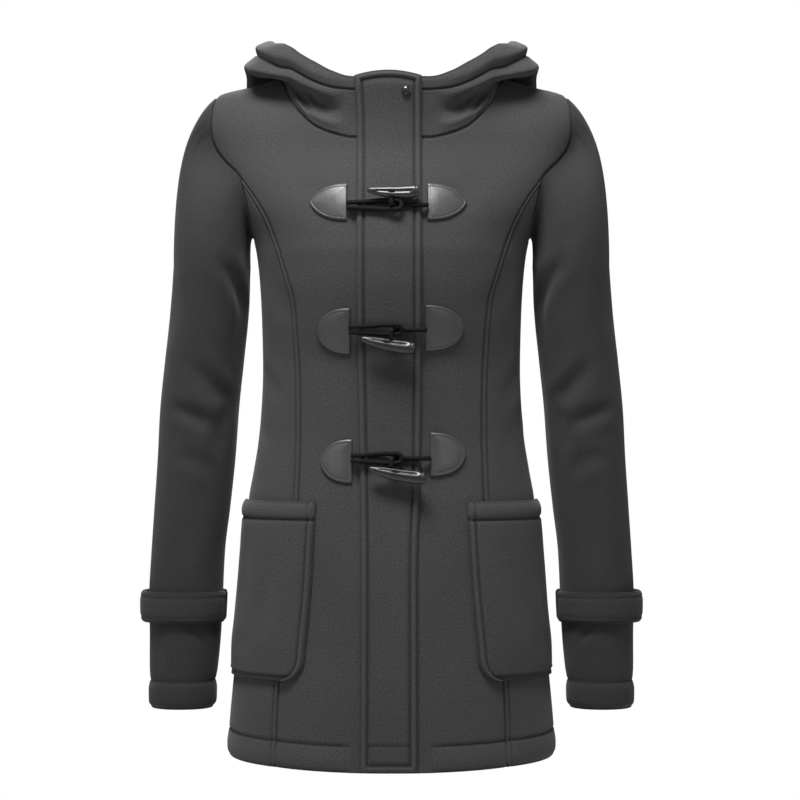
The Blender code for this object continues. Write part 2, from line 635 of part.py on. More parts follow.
def grid_normals(grid):
    """The direction square to a grid of points."""
    across, down = np.gradient(grid, axis=0), np.gradient(grid, axis=1)
    normal = np.cross(across, down)
    return normal / np.linalg.norm(normal, axis=2, keepdims=True)


def hood(name, side, material):
    """Half of the hood, from the centre front round to the seam down its middle."""
    between = np.sort(np.concatenate([HOOD_ANGLES, HOOD_ANGLES[:-1] + 1, HOOD_ANGLES[1:] - 1]))
    fine = hood_grid(between, HOOD_SHARES)
    keep = np.isin(between, HOOD_ANGLES)
    outer, normal = fine[keep], grid_normals(fine)[keep]
    inner = outer - normal * WALL
    # at the neck seam the wall's inner face follows the body's
    inner[:, 0] = neck_point(HOOD_ANGLES, -WALL) + neck_away(HOOD_ANGLES) * SEAM_GAP
    for grid in (outer, inner):
        grid[0, :, 0] = grid[-1, :, 0] = SEAM_GAP / 2
    return wall(name, mirrored(outer, side), mirrored(inner, side), material)


# ---------------------------------------------------------------- what lies on the front
def front_point(x, z, out):
    """A point over the front: on the body below the neck seam, and on the hood's upright front above it."""
    x, z, out = np.broadcast_arrays(np.asarray(x, float), np.asarray(z, float), np.asarray(out, float))
    points = torso(x, np.minimum(z, NECK_BOTTOM), -1, out)
    points[..., 2] = z
    knots = np.linspace(0, 1, len(HOOD_POINTS) + 1)
    first = dict(zip(HOOD["columns"], HOOD["rows"][0], strict=True))
    outs, ups = (smooth_line(knots, np.array([0.0] + [first[f"{point}_{way}"] for point in HOOD_POINTS]),
                             np.linspace(0, 1, 60)) for way in ("out", "up"))
    points[..., 1] -= np.interp(z - NECK_BOTTOM, ups, outs)
    return points


PLACKET_ROWS = np.array([-714.7, -711, -707, -690, *LOW_ROWS, -160, -130, -100, -78, -60, -40, -24])
PLACKET_TOP_ROWS = np.array([-10.5, -7.0, -3.5, 0.0])


def placket(name, material):
    """The band over the front opening. Its edges are stitched down 7 mm in, which leaves a soft ridge."""
    outer, inner = [], []
    for row in range(len(PLACKET_ROWS) + len(PLACKET_TOP_ROWS)):
        guide = PLACKET_ROWS[row] if row < len(PLACKET_ROWS) else PLACKET_TOP
        left, right = float(read(PLACKET, "left", guide)), float(read(PLACKET, "right", guide))
        middle, half = (left + right) / 2, (right - left) / 2
        xs = np.array([left, left + 3.5, left + 7, left + 11, middle - 7, middle + 7, right - 11, right - 7,
                       right - 3.5, right])
        arc = PLACKET_TOP - PLACKET_TOP_ARC * ((xs - middle) / half) ** 2
        upper = row - len(PLACKET_ROWS)
        zs = np.full(len(xs), guide) if upper < 0 else arc + PLACKET_TOP_ROWS[upper]
        to_end = np.minimum(arc - zs, zs - PLACKET_ROWS[0])
        edge = np.minimum(half - np.abs(xs - middle), to_end)
        relief = 0.7 * bump((edge - 3.5) / 3.5) - 0.8 * bump((edge - PLACKET_STITCH) / 3.5)
        relief = relief - 1.2 * bump(edge / 3.0)
        outer.append(front_point(xs, zs, PLACKET_GAP + PLACKET_WALL + relief))
        inner.append(front_point(xs, zs, PLACKET_GAP))
    return wall(name, np.array(outer), np.array(inner), material)


def pocket(name, side, material):
    """A patch pocket with a deep hem at its mouth, round at its inner lower corner."""
    stitch, band = POCKET["stitch"], POCKET["band"]
    tall = POCKET["top"] - POCKET["bottom"]
    ups = np.array([0, 3.5, stitch, 12, 28, 60, 97, 134,
                    tall - band - 4, tall - band, tall - band / 2, tall - 2, tall])
    ins = np.array([0, 3.5, stitch, 12, 30, 52, 76, 100, 124, 149])
    wide = ins[-1]
    outer, inner = [], []
    corner = POCKET["corner"]
    for up in ups:
        z = POCKET["bottom"] + up
        # the inner edge bends away round the corner
        near = max(0.0, corner - up)
        cut = corner - np.sqrt(max(corner**2 - near**2, 0.0))
        ends = float(read(POCKET_EDGE, "x", z))
        start_angle = float(angle_of(ends, z, -1))
        # arc length over angle, worked out on the section itself
        fan = np.linspace(start_angle, 90, 120)
        line = torso_at_angle(fan, z, -1)
        run = np.concatenate([[0], np.cumsum(np.linalg.norm(np.diff(line, axis=0), axis=1))])
        share = (ins / wide) * (run[-1] - 1.0 - cut) + cut
        angles = np.interp(share, run, fan)
        edge = np.minimum(np.minimum(share - cut, run[-1] - share + 6), up + 0.35 * cut)
        relief = 0.9 * bump((edge - 3.5) / 3.5) - 0.8 * bump((edge - stitch) / 3.5) - 1.3 * bump(edge / 3.0)
        hem = tall - up
        relief = relief + 1.6 * bump((hem - band / 2) / (0.6 * band)) - 0.9 * bump((hem - band) / 4)
        belly = 2.2 * ease((share - cut) / 40) * ease(up / 40) * ease((hem + 20) / 60)
        lift = LAID_GAP + 0.2
        outer.append(torso_at_angle(angles, z, -1, lift + WALL + relief + belly))
        inner.append(torso_at_angle(angles, z, -1, lift + belly))
    return wall(name, mirrored(np.array(outer), side), mirrored(np.array(inner), side), material)


def tab(name, edge_x, height, wide, half_tall, point, material):
    """A leather tab: straight where the cord leaves it at edge_x, and round or pointed at the far end, which lies
    towards the side that wide's sign gives."""
    runs = np.array([0, 0.22, 0.45, 0.66, 0.83, 0.94, 1.0])
    ups = np.linspace(-1, 1, 5)
    outer, inner = [], []
    for run in runs:
        half = max(half_tall * (1 - run**2.4) ** point, 1.2)
        x = edge_x + run * wide
        z = height + ups * half
        crown = 0.6 * (1 - np.abs(ups) ** 3) * (1 - run**3)
        xs = np.full(len(ups), x)
        outer.append(front_point(xs, z, LAID_GAP + LEATHER_WALL + crown))
        inner.append(front_point(xs, z, np.full(len(ups), LAID_GAP)))
    return wall(name, np.array(outer), np.array(inner), material)


def rounded(route, count):
    """Points at even steps along a smooth curve through the route's points."""
    route = np.array(route, float)
    run = np.concatenate([[0], np.cumsum(np.linalg.norm(np.diff(route, axis=0), axis=1))])
    fine = np.linspace(0, run[-1], 400)
    line = np.stack([through(run, route[:, k], fine) for k in range(3)], axis=1)
    length = np.concatenate([[0], np.cumsum(np.linalg.norm(np.diff(line, axis=0), axis=1))])
    at = np.linspace(0, length[-1], count)
    return np.stack([np.interp(at, length, line[:, k]) for k in range(3)], axis=1)


def cord(name, route, count, material):
    """A round cord along the route, whose points are (x, height, how far out from the body)."""
    line = rounded(route, count)
    points = np.array([front_point(*point) for point in line]) * MM
    curve = bpy.data.curves.new(name, "CURVE")
    curve.dimensions = "3D"
    curve.bevel_depth = CORD_RADIUS * MM
    curve.bevel_resolution = 2
    curve.use_fill_caps = True
    spline = curve.splines.new("POLY")
    spline.points.add(len(points) - 1)
    for place, point in zip(spline.points, points, strict=True):
        place.co = (*point, 1.0)
    curve.materials.append(material)
    obj = bpy.data.objects.new(name, curve)
    bpy.context.scene.collection.objects.link(obj)
    return obj


ON_PLACKET = 7.4  # how far out a cord's middle runs over the placket
UNDER_BIGHT = 6.8  # and where it passes under a loop
TOGGLE_OUT, TOGGLE_BOW = 15.8, 1.6  # how far out a toggle's middle line runs, and how far it sags at mid length


def loop_route(z, edge_x, placket_x):
    """The loop: out from its tab along one strand, round the bight over the toggle's cord, and back."""
    over = UNDER_BIGHT + 2 * CORD_RADIUS + 0.4
    one = [
        (edge_x + 0.9, z + 2.6, 4.0), (placket_x - 2.2, z + 2.8, 7.4), (placket_x + 3, z + 3.0, 8.0),
        (-18, z + 3.8, ON_PLACKET), (-7, z + 4.7, ON_PLACKET + 0.6),
        (5, z + 4.7, over), (8.4, z + 3.4, over),
    ]
    bight = [(9.7, z, over)]
    other = [(x, 2 * z - height, out) for x, height, out in reversed(one)]
    return one + bight + other


def toggle_cord_route(z, edge_x, placket_x, toggle_z, toggle_out):
    """The toggle's cord: from its tab, under the loop's bight, up inside the loop and to the toggle."""
    way = np.sign(toggle_z - z)
    end = toggle_z - way * (0.9 * TOGGLE_RADIUS * TOGGLE_TALLER + 0.4)
    return [
        (edge_x - 0.8, z, 4.9), (placket_x + 1.8, z, 7.4), (placket_x - 3, z, 8.0),
        (18, z, UNDER_BIGHT), (8.5, z, UNDER_BIGHT), (4.0, z, 8.0),
        (1.0, z, 11.5), (0, z + way * 1.4, 14.6), (0, end, toggle_out),
    ]


TOGGLE_PROFILE = {
    "columns": ("along", "radius"),
    "rows": [(0, 0.25), (0.04, 0.42), (0.12, 0.56), (0.3, 0.78), (0.46, 0.9), (0.54, 0.9), (0.7, 0.98), (0.88, 1.0),
             (0.97, 0.93), (1.0, 0.74)],
}


def toggle(name, tip, butt, out, material):
    """A horn toggle from its thin tip to its blunt end, bowed a little like a tooth."""
    start, end = front_point(*tip, out), front_point(*butt, out)
    shares = column(TOGGLE_PROFILE, "along")
    radii = column(TOGGLE_PROFILE, "radius") * TOGGLE_RADIUS
    axis = (end - start) / np.linalg.norm(end - start)
    up = np.array([0, 0, 1.0])
    up -= axis * (up @ axis)
    up /= np.linalg.norm(up)
    side = np.cross(axis, up)
    turns = np.linspace(0, 2 * np.pi, 10, endpoint=False)
    rings = []
    for share, radius in zip(shares, radii, strict=True):
        middle = start + (end - start) * share - up * TOGGLE_BOW * (1 - (2 * share - 1) ** 2)
        ring = np.outer(np.cos(turns), side) + TOGGLE_TALLER * np.outer(np.sin(turns), up)
        rings.append(middle + radius * ring)
    points = np.concatenate(rings + [[start - axis * 0.4], [end + axis * 0.6]])
    count, last = len(turns), len(shares) - 1
    faces = []
    for row in range(last):
        for k in range(count):
            a, b = row * count + k, row * count + (k + 1) % count
            faces.append((a, b, b + count, a + count))
    for k in range(count):
        faces.append((len(points) - 2, (k + 1) % count, k))
        faces.append((len(points) - 1, last * count + k, last * count + (k + 1) % count))
    return mesh_object(name, points, faces, material)


def snap(name, material):
    """The cap of the snap at the placket's top."""
    x, z = SNAP_AT
    base = PLACKET_GAP + PLACKET_WALL + 0.9
    middle = front_point(x, z, base)
    out = front_point(x, z, base + 1) - middle
    out /= np.linalg.norm(out)
    side = np.cross(out, [0, 0, 1.0])
    side /= np.linalg.norm(side)
    up = np.cross(side, out)
    turns = np.linspace(0, 2 * np.pi, 12, endpoint=False)
    profile = [(SNAP_RADIUS, 0.0), (SNAP_RADIUS, 1.0), (SNAP_RADIUS * 0.8, 1.9), (SNAP_RADIUS * 0.4, 2.3)]
    rings = [middle + out * rise + radius * (np.outer(np.cos(turns), side) + np.outer(np.sin(turns), up))
             for radius, rise in profile]
    points = np.concatenate(rings + [[middle], [middle + out * 2.5]])
    count, last = len(turns), len(profile) - 1
    faces = [(row * count + k, row * count + (k + 1) % count,
              (row + 1) * count + (k + 1) % count, (row + 1) * count + k)
             for row in range(last) for k in range(count)]
    faces += [(len(points) - 2, (k + 1) % count, k) for k in range(count)]
    faces += [(len(points) - 1, last * count + k, last * count + (k + 1) % count) for k in range(count)]
    return mesh_object(name, points, faces, material)


# ---------------------------------------------------------------- materials and assembly
def material(name, colour, roughness, metallic=0.0):
    """A plain Principled material."""
    made = bpy.data.materials.new(name)
    made.use_nodes = True
    shader = made.node_tree.nodes["Principled BSDF"]
    shader.inputs["Base Color"].default_value = (*colour, 1.0)
    shader.inputs["Roughness"].default_value = roughness
    shader.inputs["Metallic"].default_value = metallic
    return made


def fastening(row, leather, cord_material, horn):
    """One toggle with its two tabs and two cords."""
    one = dict(zip(FASTENINGS["columns"], row, strict=True))
    name, cords = one["name"], one["cords"]
    for side, way in (("right", -1), ("left", 1)):
        tab(f"tab_{side}_{name}", one[f"{side}_edge"], one[f"{side}_tab"], way * one[f"{side}_wide"],
            one["half_tall"], one["point"], leather)
    left_x, right_x = float(read(PLACKET, "left", cords)), float(read(PLACKET, "right", cords))
    cord(f"loop_cord_{name}", loop_route(cords, one["right_edge"], left_x), 25, cord_material)
    tip, butt = (one["tip_x"], one["tip_z"]), (one["butt_x"], one["butt_z"])
    middle_z = tip[1] + (butt[1] - tip[1]) * (0 - tip[0]) / (butt[0] - tip[0]) - TOGGLE_BOW
    route = toggle_cord_route(cords, one["left_edge"], right_x, middle_z, TOGGLE_OUT)
    cord(f"toggle_cord_{name}", route, 15, cord_material)
    toggle(f"toggle_{name}", tip, butt, TOGGLE_OUT, horn)


def main():
    for obj in list(bpy.data.objects):
        bpy.data.objects.remove(obj)
    fleece = material("fleece", (0.058, 0.058, 0.06), 0.95)
    leather = material("leather", (0.03, 0.03, 0.032), 0.35)
    braid = material("cord", (0.012, 0.012, 0.013), 0.8)
    horn = material("horn", (0.02, 0.019, 0.019), 0.2)
    metal = material("snap_metal", (0.2, 0.2, 0.21), 0.3, 1.0)

    for word, side in (("left", 1), ("right", -1)):
        middle_panel(f"front_{word}", side, -1, fleece)
        side_panel(f"side_front_{word}", side, -1, fleece)
        side_panel(f"side_back_{word}", side, 1, fleece)
        sleeve(f"sleeve_{word}", side, fleece)
        strap(f"cuff_strap_{word}", side, fleece)
        hood(f"hood_{word}", side, fleece)
        pocket(f"pocket_{word}", side, fleece)
    middle_panel("back", 1, 1, fleece)
    placket("placket", fleece)
    for row in FASTENINGS["rows"]:
        fastening(row, leather, braid, horn)
    snap("snap", metal)


main()
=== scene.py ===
import bpy
import numpy as np
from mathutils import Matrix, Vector


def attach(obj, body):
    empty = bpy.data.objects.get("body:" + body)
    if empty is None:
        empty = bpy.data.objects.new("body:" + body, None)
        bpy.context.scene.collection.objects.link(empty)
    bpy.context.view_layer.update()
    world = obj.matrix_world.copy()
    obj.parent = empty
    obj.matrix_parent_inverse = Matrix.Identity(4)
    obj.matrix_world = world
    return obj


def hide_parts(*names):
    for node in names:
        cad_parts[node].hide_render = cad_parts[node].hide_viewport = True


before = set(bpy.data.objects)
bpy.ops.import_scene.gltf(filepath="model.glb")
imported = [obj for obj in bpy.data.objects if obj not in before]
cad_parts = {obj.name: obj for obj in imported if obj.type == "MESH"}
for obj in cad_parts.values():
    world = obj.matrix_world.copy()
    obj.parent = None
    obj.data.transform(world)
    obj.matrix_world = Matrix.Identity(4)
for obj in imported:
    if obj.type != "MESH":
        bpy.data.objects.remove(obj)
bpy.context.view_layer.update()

# A hooded toggle coat in charcoal fleece, hollow as worn. Lengths are in millimetres until they reach a mesh.
mm = 0.001

# camera, light and floor
view = {"place": (0.0089, -3.0, -0.340), "lens": 128.57, "sensor": 36.0}
lamps = {
    # name: place, size across and up, watts, colour
    "key": ((-0.2, -0.8, 1.35), (0.9, 0.5), 53.0, (1.0, 0.995, 0.99)),
    "left": ((-1.7, -2.55, 0.4), (0.4, 1.4), 8.4, (1.0, 1.0, 1.0)),
    "right": ((1.5, -2.7, 0.45), (0.35, 1.2), 7.4, (1.0, 1.0, 1.0)),
    "leftEdge": ((-1.9, -0.35, 0.0), (0.6, 1.2), 3.4, (0.99, 0.995, 1.0)),
    "rightEdge": ((1.9, -0.35, 0.0), (0.6, 1.2), 3.4, (0.99, 0.995, 1.0)),
    "behind": ((-0.25, 1.55, 1.15), (0.9, 0.6), 44.0, (1.0, 1.0, 1.0)),
    "behindLow": ((0.35, 2.4, -0.1), (0.5, 1.2), 14.0, (1.0, 1.0, 1.0)),
}
floor = {"height": -1.35, "half": 2.6, "grey": 0.8, "rough": 0.9}
air = {"seen": 1.0, "given": 0.06}
lampAim = (0, -0.05, -0.36)


def makeCamera():
    data = bpy.data.cameras.new("camera")
    data.sensor_width = view["sensor"]
    data.lens = view["lens"]
    camera = bpy.data.objects.new("camera", data)
    camera.location = view["place"]
    camera.rotation_euler = (np.pi / 2, 0, 0)
    bpy.context.scene.collection.objects.link(camera)
    bpy.context.scene.camera = camera


def makeLights():
    for name, (place, (wide, tall), watts, colour) in lamps.items():
        data = bpy.data.lights.new(name, "AREA")
        data.shape = "RECTANGLE"
        data.size = wide
        data.size_y = tall
        data.energy = watts
        data.color = colour
        lamp = bpy.data.objects.new(name, data)
        lamp.location = place
        lamp.rotation_euler = (Vector(lampAim) - Vector(place)).to_track_quat("-Z", "Y").to_euler()
        bpy.context.scene.collection.objects.link(lamp)


def makeAir():
    # white all round as the camera sees it, dimmer as a light
    world = bpy.data.worlds.new("studio")
    world.use_nodes = True
    nodes, links = world.node_tree.nodes, world.node_tree.links
    nodes.clear()
    seen, given = nodes.new("ShaderNodeBackground"), nodes.new("ShaderNodeBackground")
    seen.inputs["Strength"].default_value = air["seen"]
    given.inputs["Strength"].default_value = air["given"]
    for shade in (seen, given):
        shade.inputs["Color"].default_value = (1.0, 1.0, 1.0, 1.0)
    path = nodes.new("ShaderNodeLightPath")
    mix = nodes.new("ShaderNodeMixShader")
    out = nodes.new("ShaderNodeOutputWorld")
    links.new(path.outputs["Is Camera Ray"], mix.inputs["Fac"])
    links.new(given.outputs[0], mix.inputs[1])
    links.new(seen.outputs[0], mix.inputs[2])
    links.new(mix.outputs[0], out.inputs["Surface"])
    bpy.context.scene.world = world
    bpy.context.scene.view_settings.view_transform = "Standard"
    bpy.context.scene.view_settings.look = "None"


def newFinish(name, colour, roughness, **more):
    # a material and its shader; more holds other sockets of the shader, with _ for a space
    made = bpy.data.materials.new(name)
    made.use_nodes = True
    shader = made.node_tree.nodes["Principled BSDF"]
    shader.inputs["Base Color"].default_value = (*colour, 1)
    shader.inputs["Roughness"].default_value = roughness
    for socket, value in more.items():
        shader.inputs[socket.replace("_", " ")].default_value = value
    return made, shader


def makeFloor():
    half = floor["half"]
    mesh = bpy.data.meshes.new("floor")
    corners = [(x * half, y * half, floor["height"]) for x, y in ((-1, -1), (1, -1), (1, 1), (-1, 1))]
    mesh.from_pydata(corners, [], [(0, 1, 2, 3)])
    plane = bpy.data.objects.new("floor", mesh)
    bpy.context.scene.collection.objects.link(plane)
    mesh.materials.append(newFinish("floor_paint", (floor["grey"],) * 3, floor["rough"])[0])


makeCamera()
makeLights()
makeAir()
makeFloor()
print("stage ready")


# the cut, as in the frame's source
def table(names, *rows):
    # named columns of numbers, a row for each section or point
    return dict(zip(names.split(), np.array(rows, float).T))


hands = (("left", 1), ("right", -1))  # the wearer's, and the sign of x there
cloth = {"wall": 3.0, "gap": 0.1, "roll": 1.3, "rollWide": 3.0, "groove": 1.2, "grooveWide": 2.3,
         "topstitch": 5.8}
chestHeight, sideBack, shoulderFall = -175.0, 4.0, 1.5
faceNames, roundness = {-1: "front", 1: "back"}, {-1: 2.3, 1: 2.4}
hemSide, hemDip, hemStitch = -708.0, 7.0, 26.0
neckBottom, seamBase, capFoot, cuffEnd, cuffStitch = -72.0, -190.0, -200.0, -659.0, -631.0

bodySections = table(
    "height half front back",
    (-716, 171.5, 127, 127), (-697, 171.0, 126, 126), (-634, 166.0, 124, 124), (-600, 162.5, 122, 122),
    (-550, 157.5, 119, 119), (-497, 153.5, 115, 113), (-445, 150.0, 110, 104), (-413, 144.4, 106, 96),
    (-371, 138.1, 102.5, 88), (-308, 134.9, 103, 87), (-255, 136.0, 112, 98), (-214, 138.3, 118, 106),
    (-190, 141.0, 118.5, 109), (-175, 144.0, 116, 110), (-143, 159.5, 109, 109), (-118, 172.0, 100, 106.5),
    (-72, 190.0, 85, 96), (-40, 201.0, 83.5, 84), (-15, 207.0, 86, 70), (12, 212.0, 89, 62))
shoulderRidge = table("x height", (0, 80), (60, 40), (93, 13), (117, -1.5), (150, -11.5), (172, -16.5),
                      (183, -20.5), (214, -36))
armholes = {
    -1: table("x height", (183, -20.5), (187.5, -38), (188.5, -60), (185, -74), (174.5, -90), (159.5, -105.5),
              (156.5, -110), (153.5, -121), (148.5, -143), (145.3, -163), (144, -175)),
    1: table("x height", (183, -20.5), (182, -42), (176, -66), (167, -88), (158.5, -106), (153, -124),
             (148.8, -145), (145.5, -163), (144, -175)),
}
princessSeams = {
    -1: table("height x", (-716, 117.7), (-674, 116.7), (-626, 114), (-532, 103), (-444, 95), (-366, 92.9),
              (-339, 93), (-298, 94.4), (-239, 99.5), (-212, 107), (-173, 119.7), (-155, 127), (-137, 137.4),
              (-110, 156.5)),
    1: table("height x", (-716, 106), (-600, 103), (-500, 98), (-420, 92), (-350, 87), (-300, 87), (-255, 93),
             (-210, 106), (-165, 124), (-130, 143), (-106, 158.5)),
}
neckline = table("angle x height", (0, 0, -72), (20, 37, -72), (35, 60, -67), (48, 78, -59), (60, 93, -45.5),
                 (70, 103, -32), (80, 110.5, -15.5), (90, 117, -1.5), (105, 113, -5.5), (120, 100, -9.5),
                 (140, 73, -12.5), (160, 38, -14.5), (180, 0, -15))
# angles round the neck at even steps across a panel's top, from its middle to the shoulder seam
neckSteps = {-1: np.array([0, 18, 35, 50, 62, 72, 81, 90.0]),
             1: np.array([180, 161, 142, 124, 110, 99, 90.0])}
sleeveSections = table(
    "height x y half deep",
    (-659, 218.4, -15, 33.5, 38.0), (-652, 218.0, -15, 35.4, 39.6), (-640, 217.9, -15, 35.6, 39.8),
    (-631, 217.6, -14.5, 34.2, 38.6), (-620, 217.0, -14, 35.4, 39.6), (-580, 215.3, -12, 37.3, 42),
    (-540, 214.8, -9, 38.6, 44), (-500, 213.0, -6, 38.4, 46), (-450, 208.6, -3, 39.7, 48),
    (-400, 204.5, 0, 40.7, 50), (-350, 201.6, 3, 41.3, 52), (-300, 196.6, 4, 41.4, 54),
    (-250, 191.4, 4, 40.8, 57), (-200, 188.4, 3, 40.2, 60))
# the hood's sections: the angle round the neck, then how far out and up each of nine points lies
hoodRows = np.array([
    (0, -0.5, 7, -1, 14, -1, 22, -0.5, 30, 0.2, 37, 1, 44, 1.8, 49, 2.6, 56, 2.6, 62),
    (24, -0.5, 7, -1, 14, -1, 22, -0.5, 30, 0.2, 37, 1, 44, 1.8, 49, 2.6, 56, 2.6, 62),
    (35, 0.5, 5, 1, 11, -2, 17, -3.5, 24, -0.5, 31, 4, 40, 3.5, 47, 5, 56, 3, 64),
    (48, 0.5, 5, 1, 11, -4.5, 16, -7, 23, -1, 31, 7, 39, 6, 47, 8, 57, 4, 67),
    (60, 0, 5, 0, 10, -4.5, 15.5, -5, 22.5, 4, 29, 12, 36, 10, 45, 13, 56, 8, 66),
    (70, -1, 5, -2, 10, -2.5, 15.5, 3, 20, 13, 22.5, 20, 28, 15, 36, 18, 48, 8, 60),
    (82, -3, 4, -3, 9, 4, 12, 17, 9, 30, 9, 38, 17, 26, 29, 26, 38, 11, 45),
    (95, -3, 4, -2, 9, 7, 9.5, 19, 4, 31, 1, 37, 8, 25, 20, 25, 29, 10, 36),
    (115, -3, 4, -1, 8, 9, 7, 26, -5, 45, -17, 53, -6, 46, 16, 46, 26, 35, 31),
    (135, -3, 3.5, 0, 7, 11, 2, 32, -40, 58, -86, 75, -52, 67, 3, 67, 13, 58, 18),
    (155, -3, 3, 0, 6.5, 12, -4, 36, -76, 66, -136, 90, -92, 82, -12, 82, 0, 73, 6),
    (180, -3, 3, 0, 6.5, 12, -8, 38, -94, 70, -158, 99, -110, 91, -22, 91, -8, 82, -1)])
hoodAngles, hoodOut, hoodUp = hoodRows[:, 0], hoodRows[:, 1::2], hoodRows[:, 2::2]
placketEdges = table("height left right", (-716, -30.7, 25.8), (-520, -30, 25.5), (-400, -31.5, 29),
                     (-220, -34.2, 30), (-60, -34.5, 30), (0, -37, 30))
pocketEdge = table("height x", (-625, 89), (-608, 88), (-540, 82), (-451, 76.5), (-440, 76))


# curves
def rise(t):
    # 0 to 1 with a soft start and end: 3 t squared less 2 t cubed
    t = np.clip(t, 0, 1)
    return t * t * (3 - 2 * t)


def hump(t):
    # 1 in the middle, falling softly to 0 at 1 and -1
    return 1 - rise(np.abs(t))


def between(ys, slopes, i, t, long=1.0):
    # a cubic curve from row i to the next, with those slopes at its ends
    return (ys[i] * (1 - rise(t)) + ys[i + 1] * rise(t)
            + long * (t * (1 - t) ** 2 * slopes[i] + t * t * (t - 1) * slopes[i + 1]))


def smooth(xs, ys, at, flatEnds=False):
    # a smooth curve through (xs, ys) that never overshoots: the slope at a point is the mean of the slopes
    # beside it, weighted by their reach, and 0 where they differ in sign; ys may hold several columns
    at = np.clip(np.asarray(at, float), xs[0], xs[-1])
    more = (1,) * (ys.ndim - 1)
    step = np.diff(xs).reshape((-1,) + more)
    slope = np.diff(ys, axis=0) / step
    bend = np.zeros_like(ys)
    before, after = slope[:-1], slope[1:]
    same = before * after > 0
    near, far = 2 * step[1:] + step[:-1], step[1:] + 2 * step[:-1]
    under = np.where(same, near * after + far * before, 1.0)
    bend[1:-1] = np.where(same, (near + far) * before * after / under, 0.0)
    if not flatEnds:
        bend[0], bend[-1] = slope[0], slope[-1]
    i = np.clip(np.searchsorted(xs, at, side="right") - 1, 0, len(step) - 1)
    return between(ys, bend, i, (at - xs[i]).reshape(at.shape + more) / step[i], step[i])


def read(rows, name, at):
    # a column of a table, between its rows
    return smooth(rows[next(iter(rows))], rows[name], at)


def roundCurve(values, at):
    # a rounder curve through evenly spaced rows of values: the slope at each is its neighbours'
    last = len(values) - 1
    i = np.clip((at * last).astype(int), 0, last - 1)
    t = (at * last - i).reshape(at.shape + (1,) * (values.ndim - 1))
    return between(values, np.gradient(values, axis=0), i, t)


def unit(vectors):
    # vectors cut to length 1
    return vectors / np.maximum(np.linalg.norm(vectors, axis=-1, keepdims=True), 1e-9)


def arcs(points, axis):
    # distance walked along a grid's columns (axis 0) or rows (1)
    run = np.cumsum(np.linalg.norm(np.diff(points, axis=axis), axis=-1), axis=axis)
    return np.concatenate([np.zeros_like(np.take(run, [0], axis=axis)), run], axis=axis)


def arcsBack(points, axis):
    # the same from the far end
    return np.flip(arcs(np.flip(points, axis), axis), axis)


def walked(line, shares):
    # the points at those shares of a line's length
    run = arcs(line, 0)
    return np.stack([np.interp(shares * run[-1], run, line[:, k]) for k in range(line.shape[1])], axis=1)


def alongSeam(seam, share):
    # the point at a share of the length of a seam drawn in front view
    points = np.stack([seam["x"], seam["height"]], axis=1)
    run = arcs(points, 0)
    return smooth(run / run[-1], points, share)


creaseShape = {"ridge": 0.42, "ridgeAt": 1.9, "fade": 0.4}


def creased(a, b, strokes):
    # soft troughs, each falling away from a stroke (a0, b0)-(a1, b1) that bows sideways: a bell across the
    # stroke less a lower one at each side, times a soft start and end along it
    push = np.zeros(np.broadcast(a, b).shape)
    for a0, b0, a1, b1, bow, wide, deep in strokes:
        long = np.hypot(a1 - a0, b1 - b0)
        t = ((a - a0) * (a1 - a0) + (b - b0) * (b1 - b0)) / long**2
        off = ((b - b0) * (a1 - a0) - (a - a0) * (b1 - b0)) / long - bow * (1 - (2 * t - 1) ** 2)
        beside = np.exp(-(((np.abs(off) - creaseShape["ridgeAt"] * wide) / wide) ** 2))
        trough = np.exp(-((off / wide) ** 2)) - creaseShape["ridge"] * beside
        push = push - deep * trough * rise(t / creaseShape["fade"]) * rise((1 - t) / creaseShape["fade"])
    return push


def graded(length, step, fine):
    # distances from 0 to length: the fine ones near both ends, even steps between
    fine = np.asarray(fine, float)
    middle = np.linspace(fine[-1], length - fine[-1], max(int((length - 2 * fine[-1]) / step), 1) + 1)[1:-1]
    return np.concatenate([fine, middle, length - fine[::-1]])


# how far from an edge the rows that follow it closely lie
edgeSteps = (0, 0.6, 1.3, 2.2, 3.4, 4.6, 5.8, 7.0, 8.6)


# the body's surface
def bodyFrom(across, depth, z, face, out):
    # superellipse sections that round over towards the shoulder ridge
    half = read(bodySections, "half", z)
    deep = read(bodySections, faceNames[face], z) - face * sideBack
    ridge = smooth(shoulderRidge["x"], shoulderRidge["height"], np.abs(across) * half)
    up = np.clip((z - chestHeight) / (ridge - chestHeight), 0, 1)
    middle = np.clip((z - chestHeight) / (shoulderRidge["height"][0] - chestHeight), 0, 1)
    fall = ((1 - up**shoulderFall) / (1 - middle**shoulderFall)) ** (1 / shoulderFall)
    y = sideBack + face * (deep + out) * depth * fall
    return np.stack(np.broadcast_arrays(across * (half + out), y, z + out * up), axis=-1)


def bodyAt(x, z, face, out=0.0):
    # the point of the front (-1) or the back (+1) seen at x, z, on a superellipse
    power = roundness[face]
    across = np.clip(x / read(bodySections, "half", z), -1, 1)
    return bodyFrom(across, (1 - np.abs(across) ** power) ** (1 / power), z, face, out)


def bodyAngle(x, z, face):
    # 0 at the middle of the front or back, 90 at the side seam
    across = np.clip(np.abs(x) / read(bodySections, "half", z), 0, 1)
    return np.degrees(np.arcsin(across ** (roundness[face] / 2)))


def bodyTurned(angle, z, face, out=0.0):
    # the point at that angle: sine and cosine to the power of two over the roundness
    turn, power = np.radians(np.clip(angle, 0, 90)), 2 / roundness[face]
    return bodyFrom(np.sin(turn) ** power, np.cos(turn) ** power, z, face, out)


def hemHeight(angle):
    # the hem dips from the side seams to the middle, by the square of the angle's cosine
    return hemSide - hemDip * np.cos(np.radians(np.clip(angle, 0, 90))) ** 2


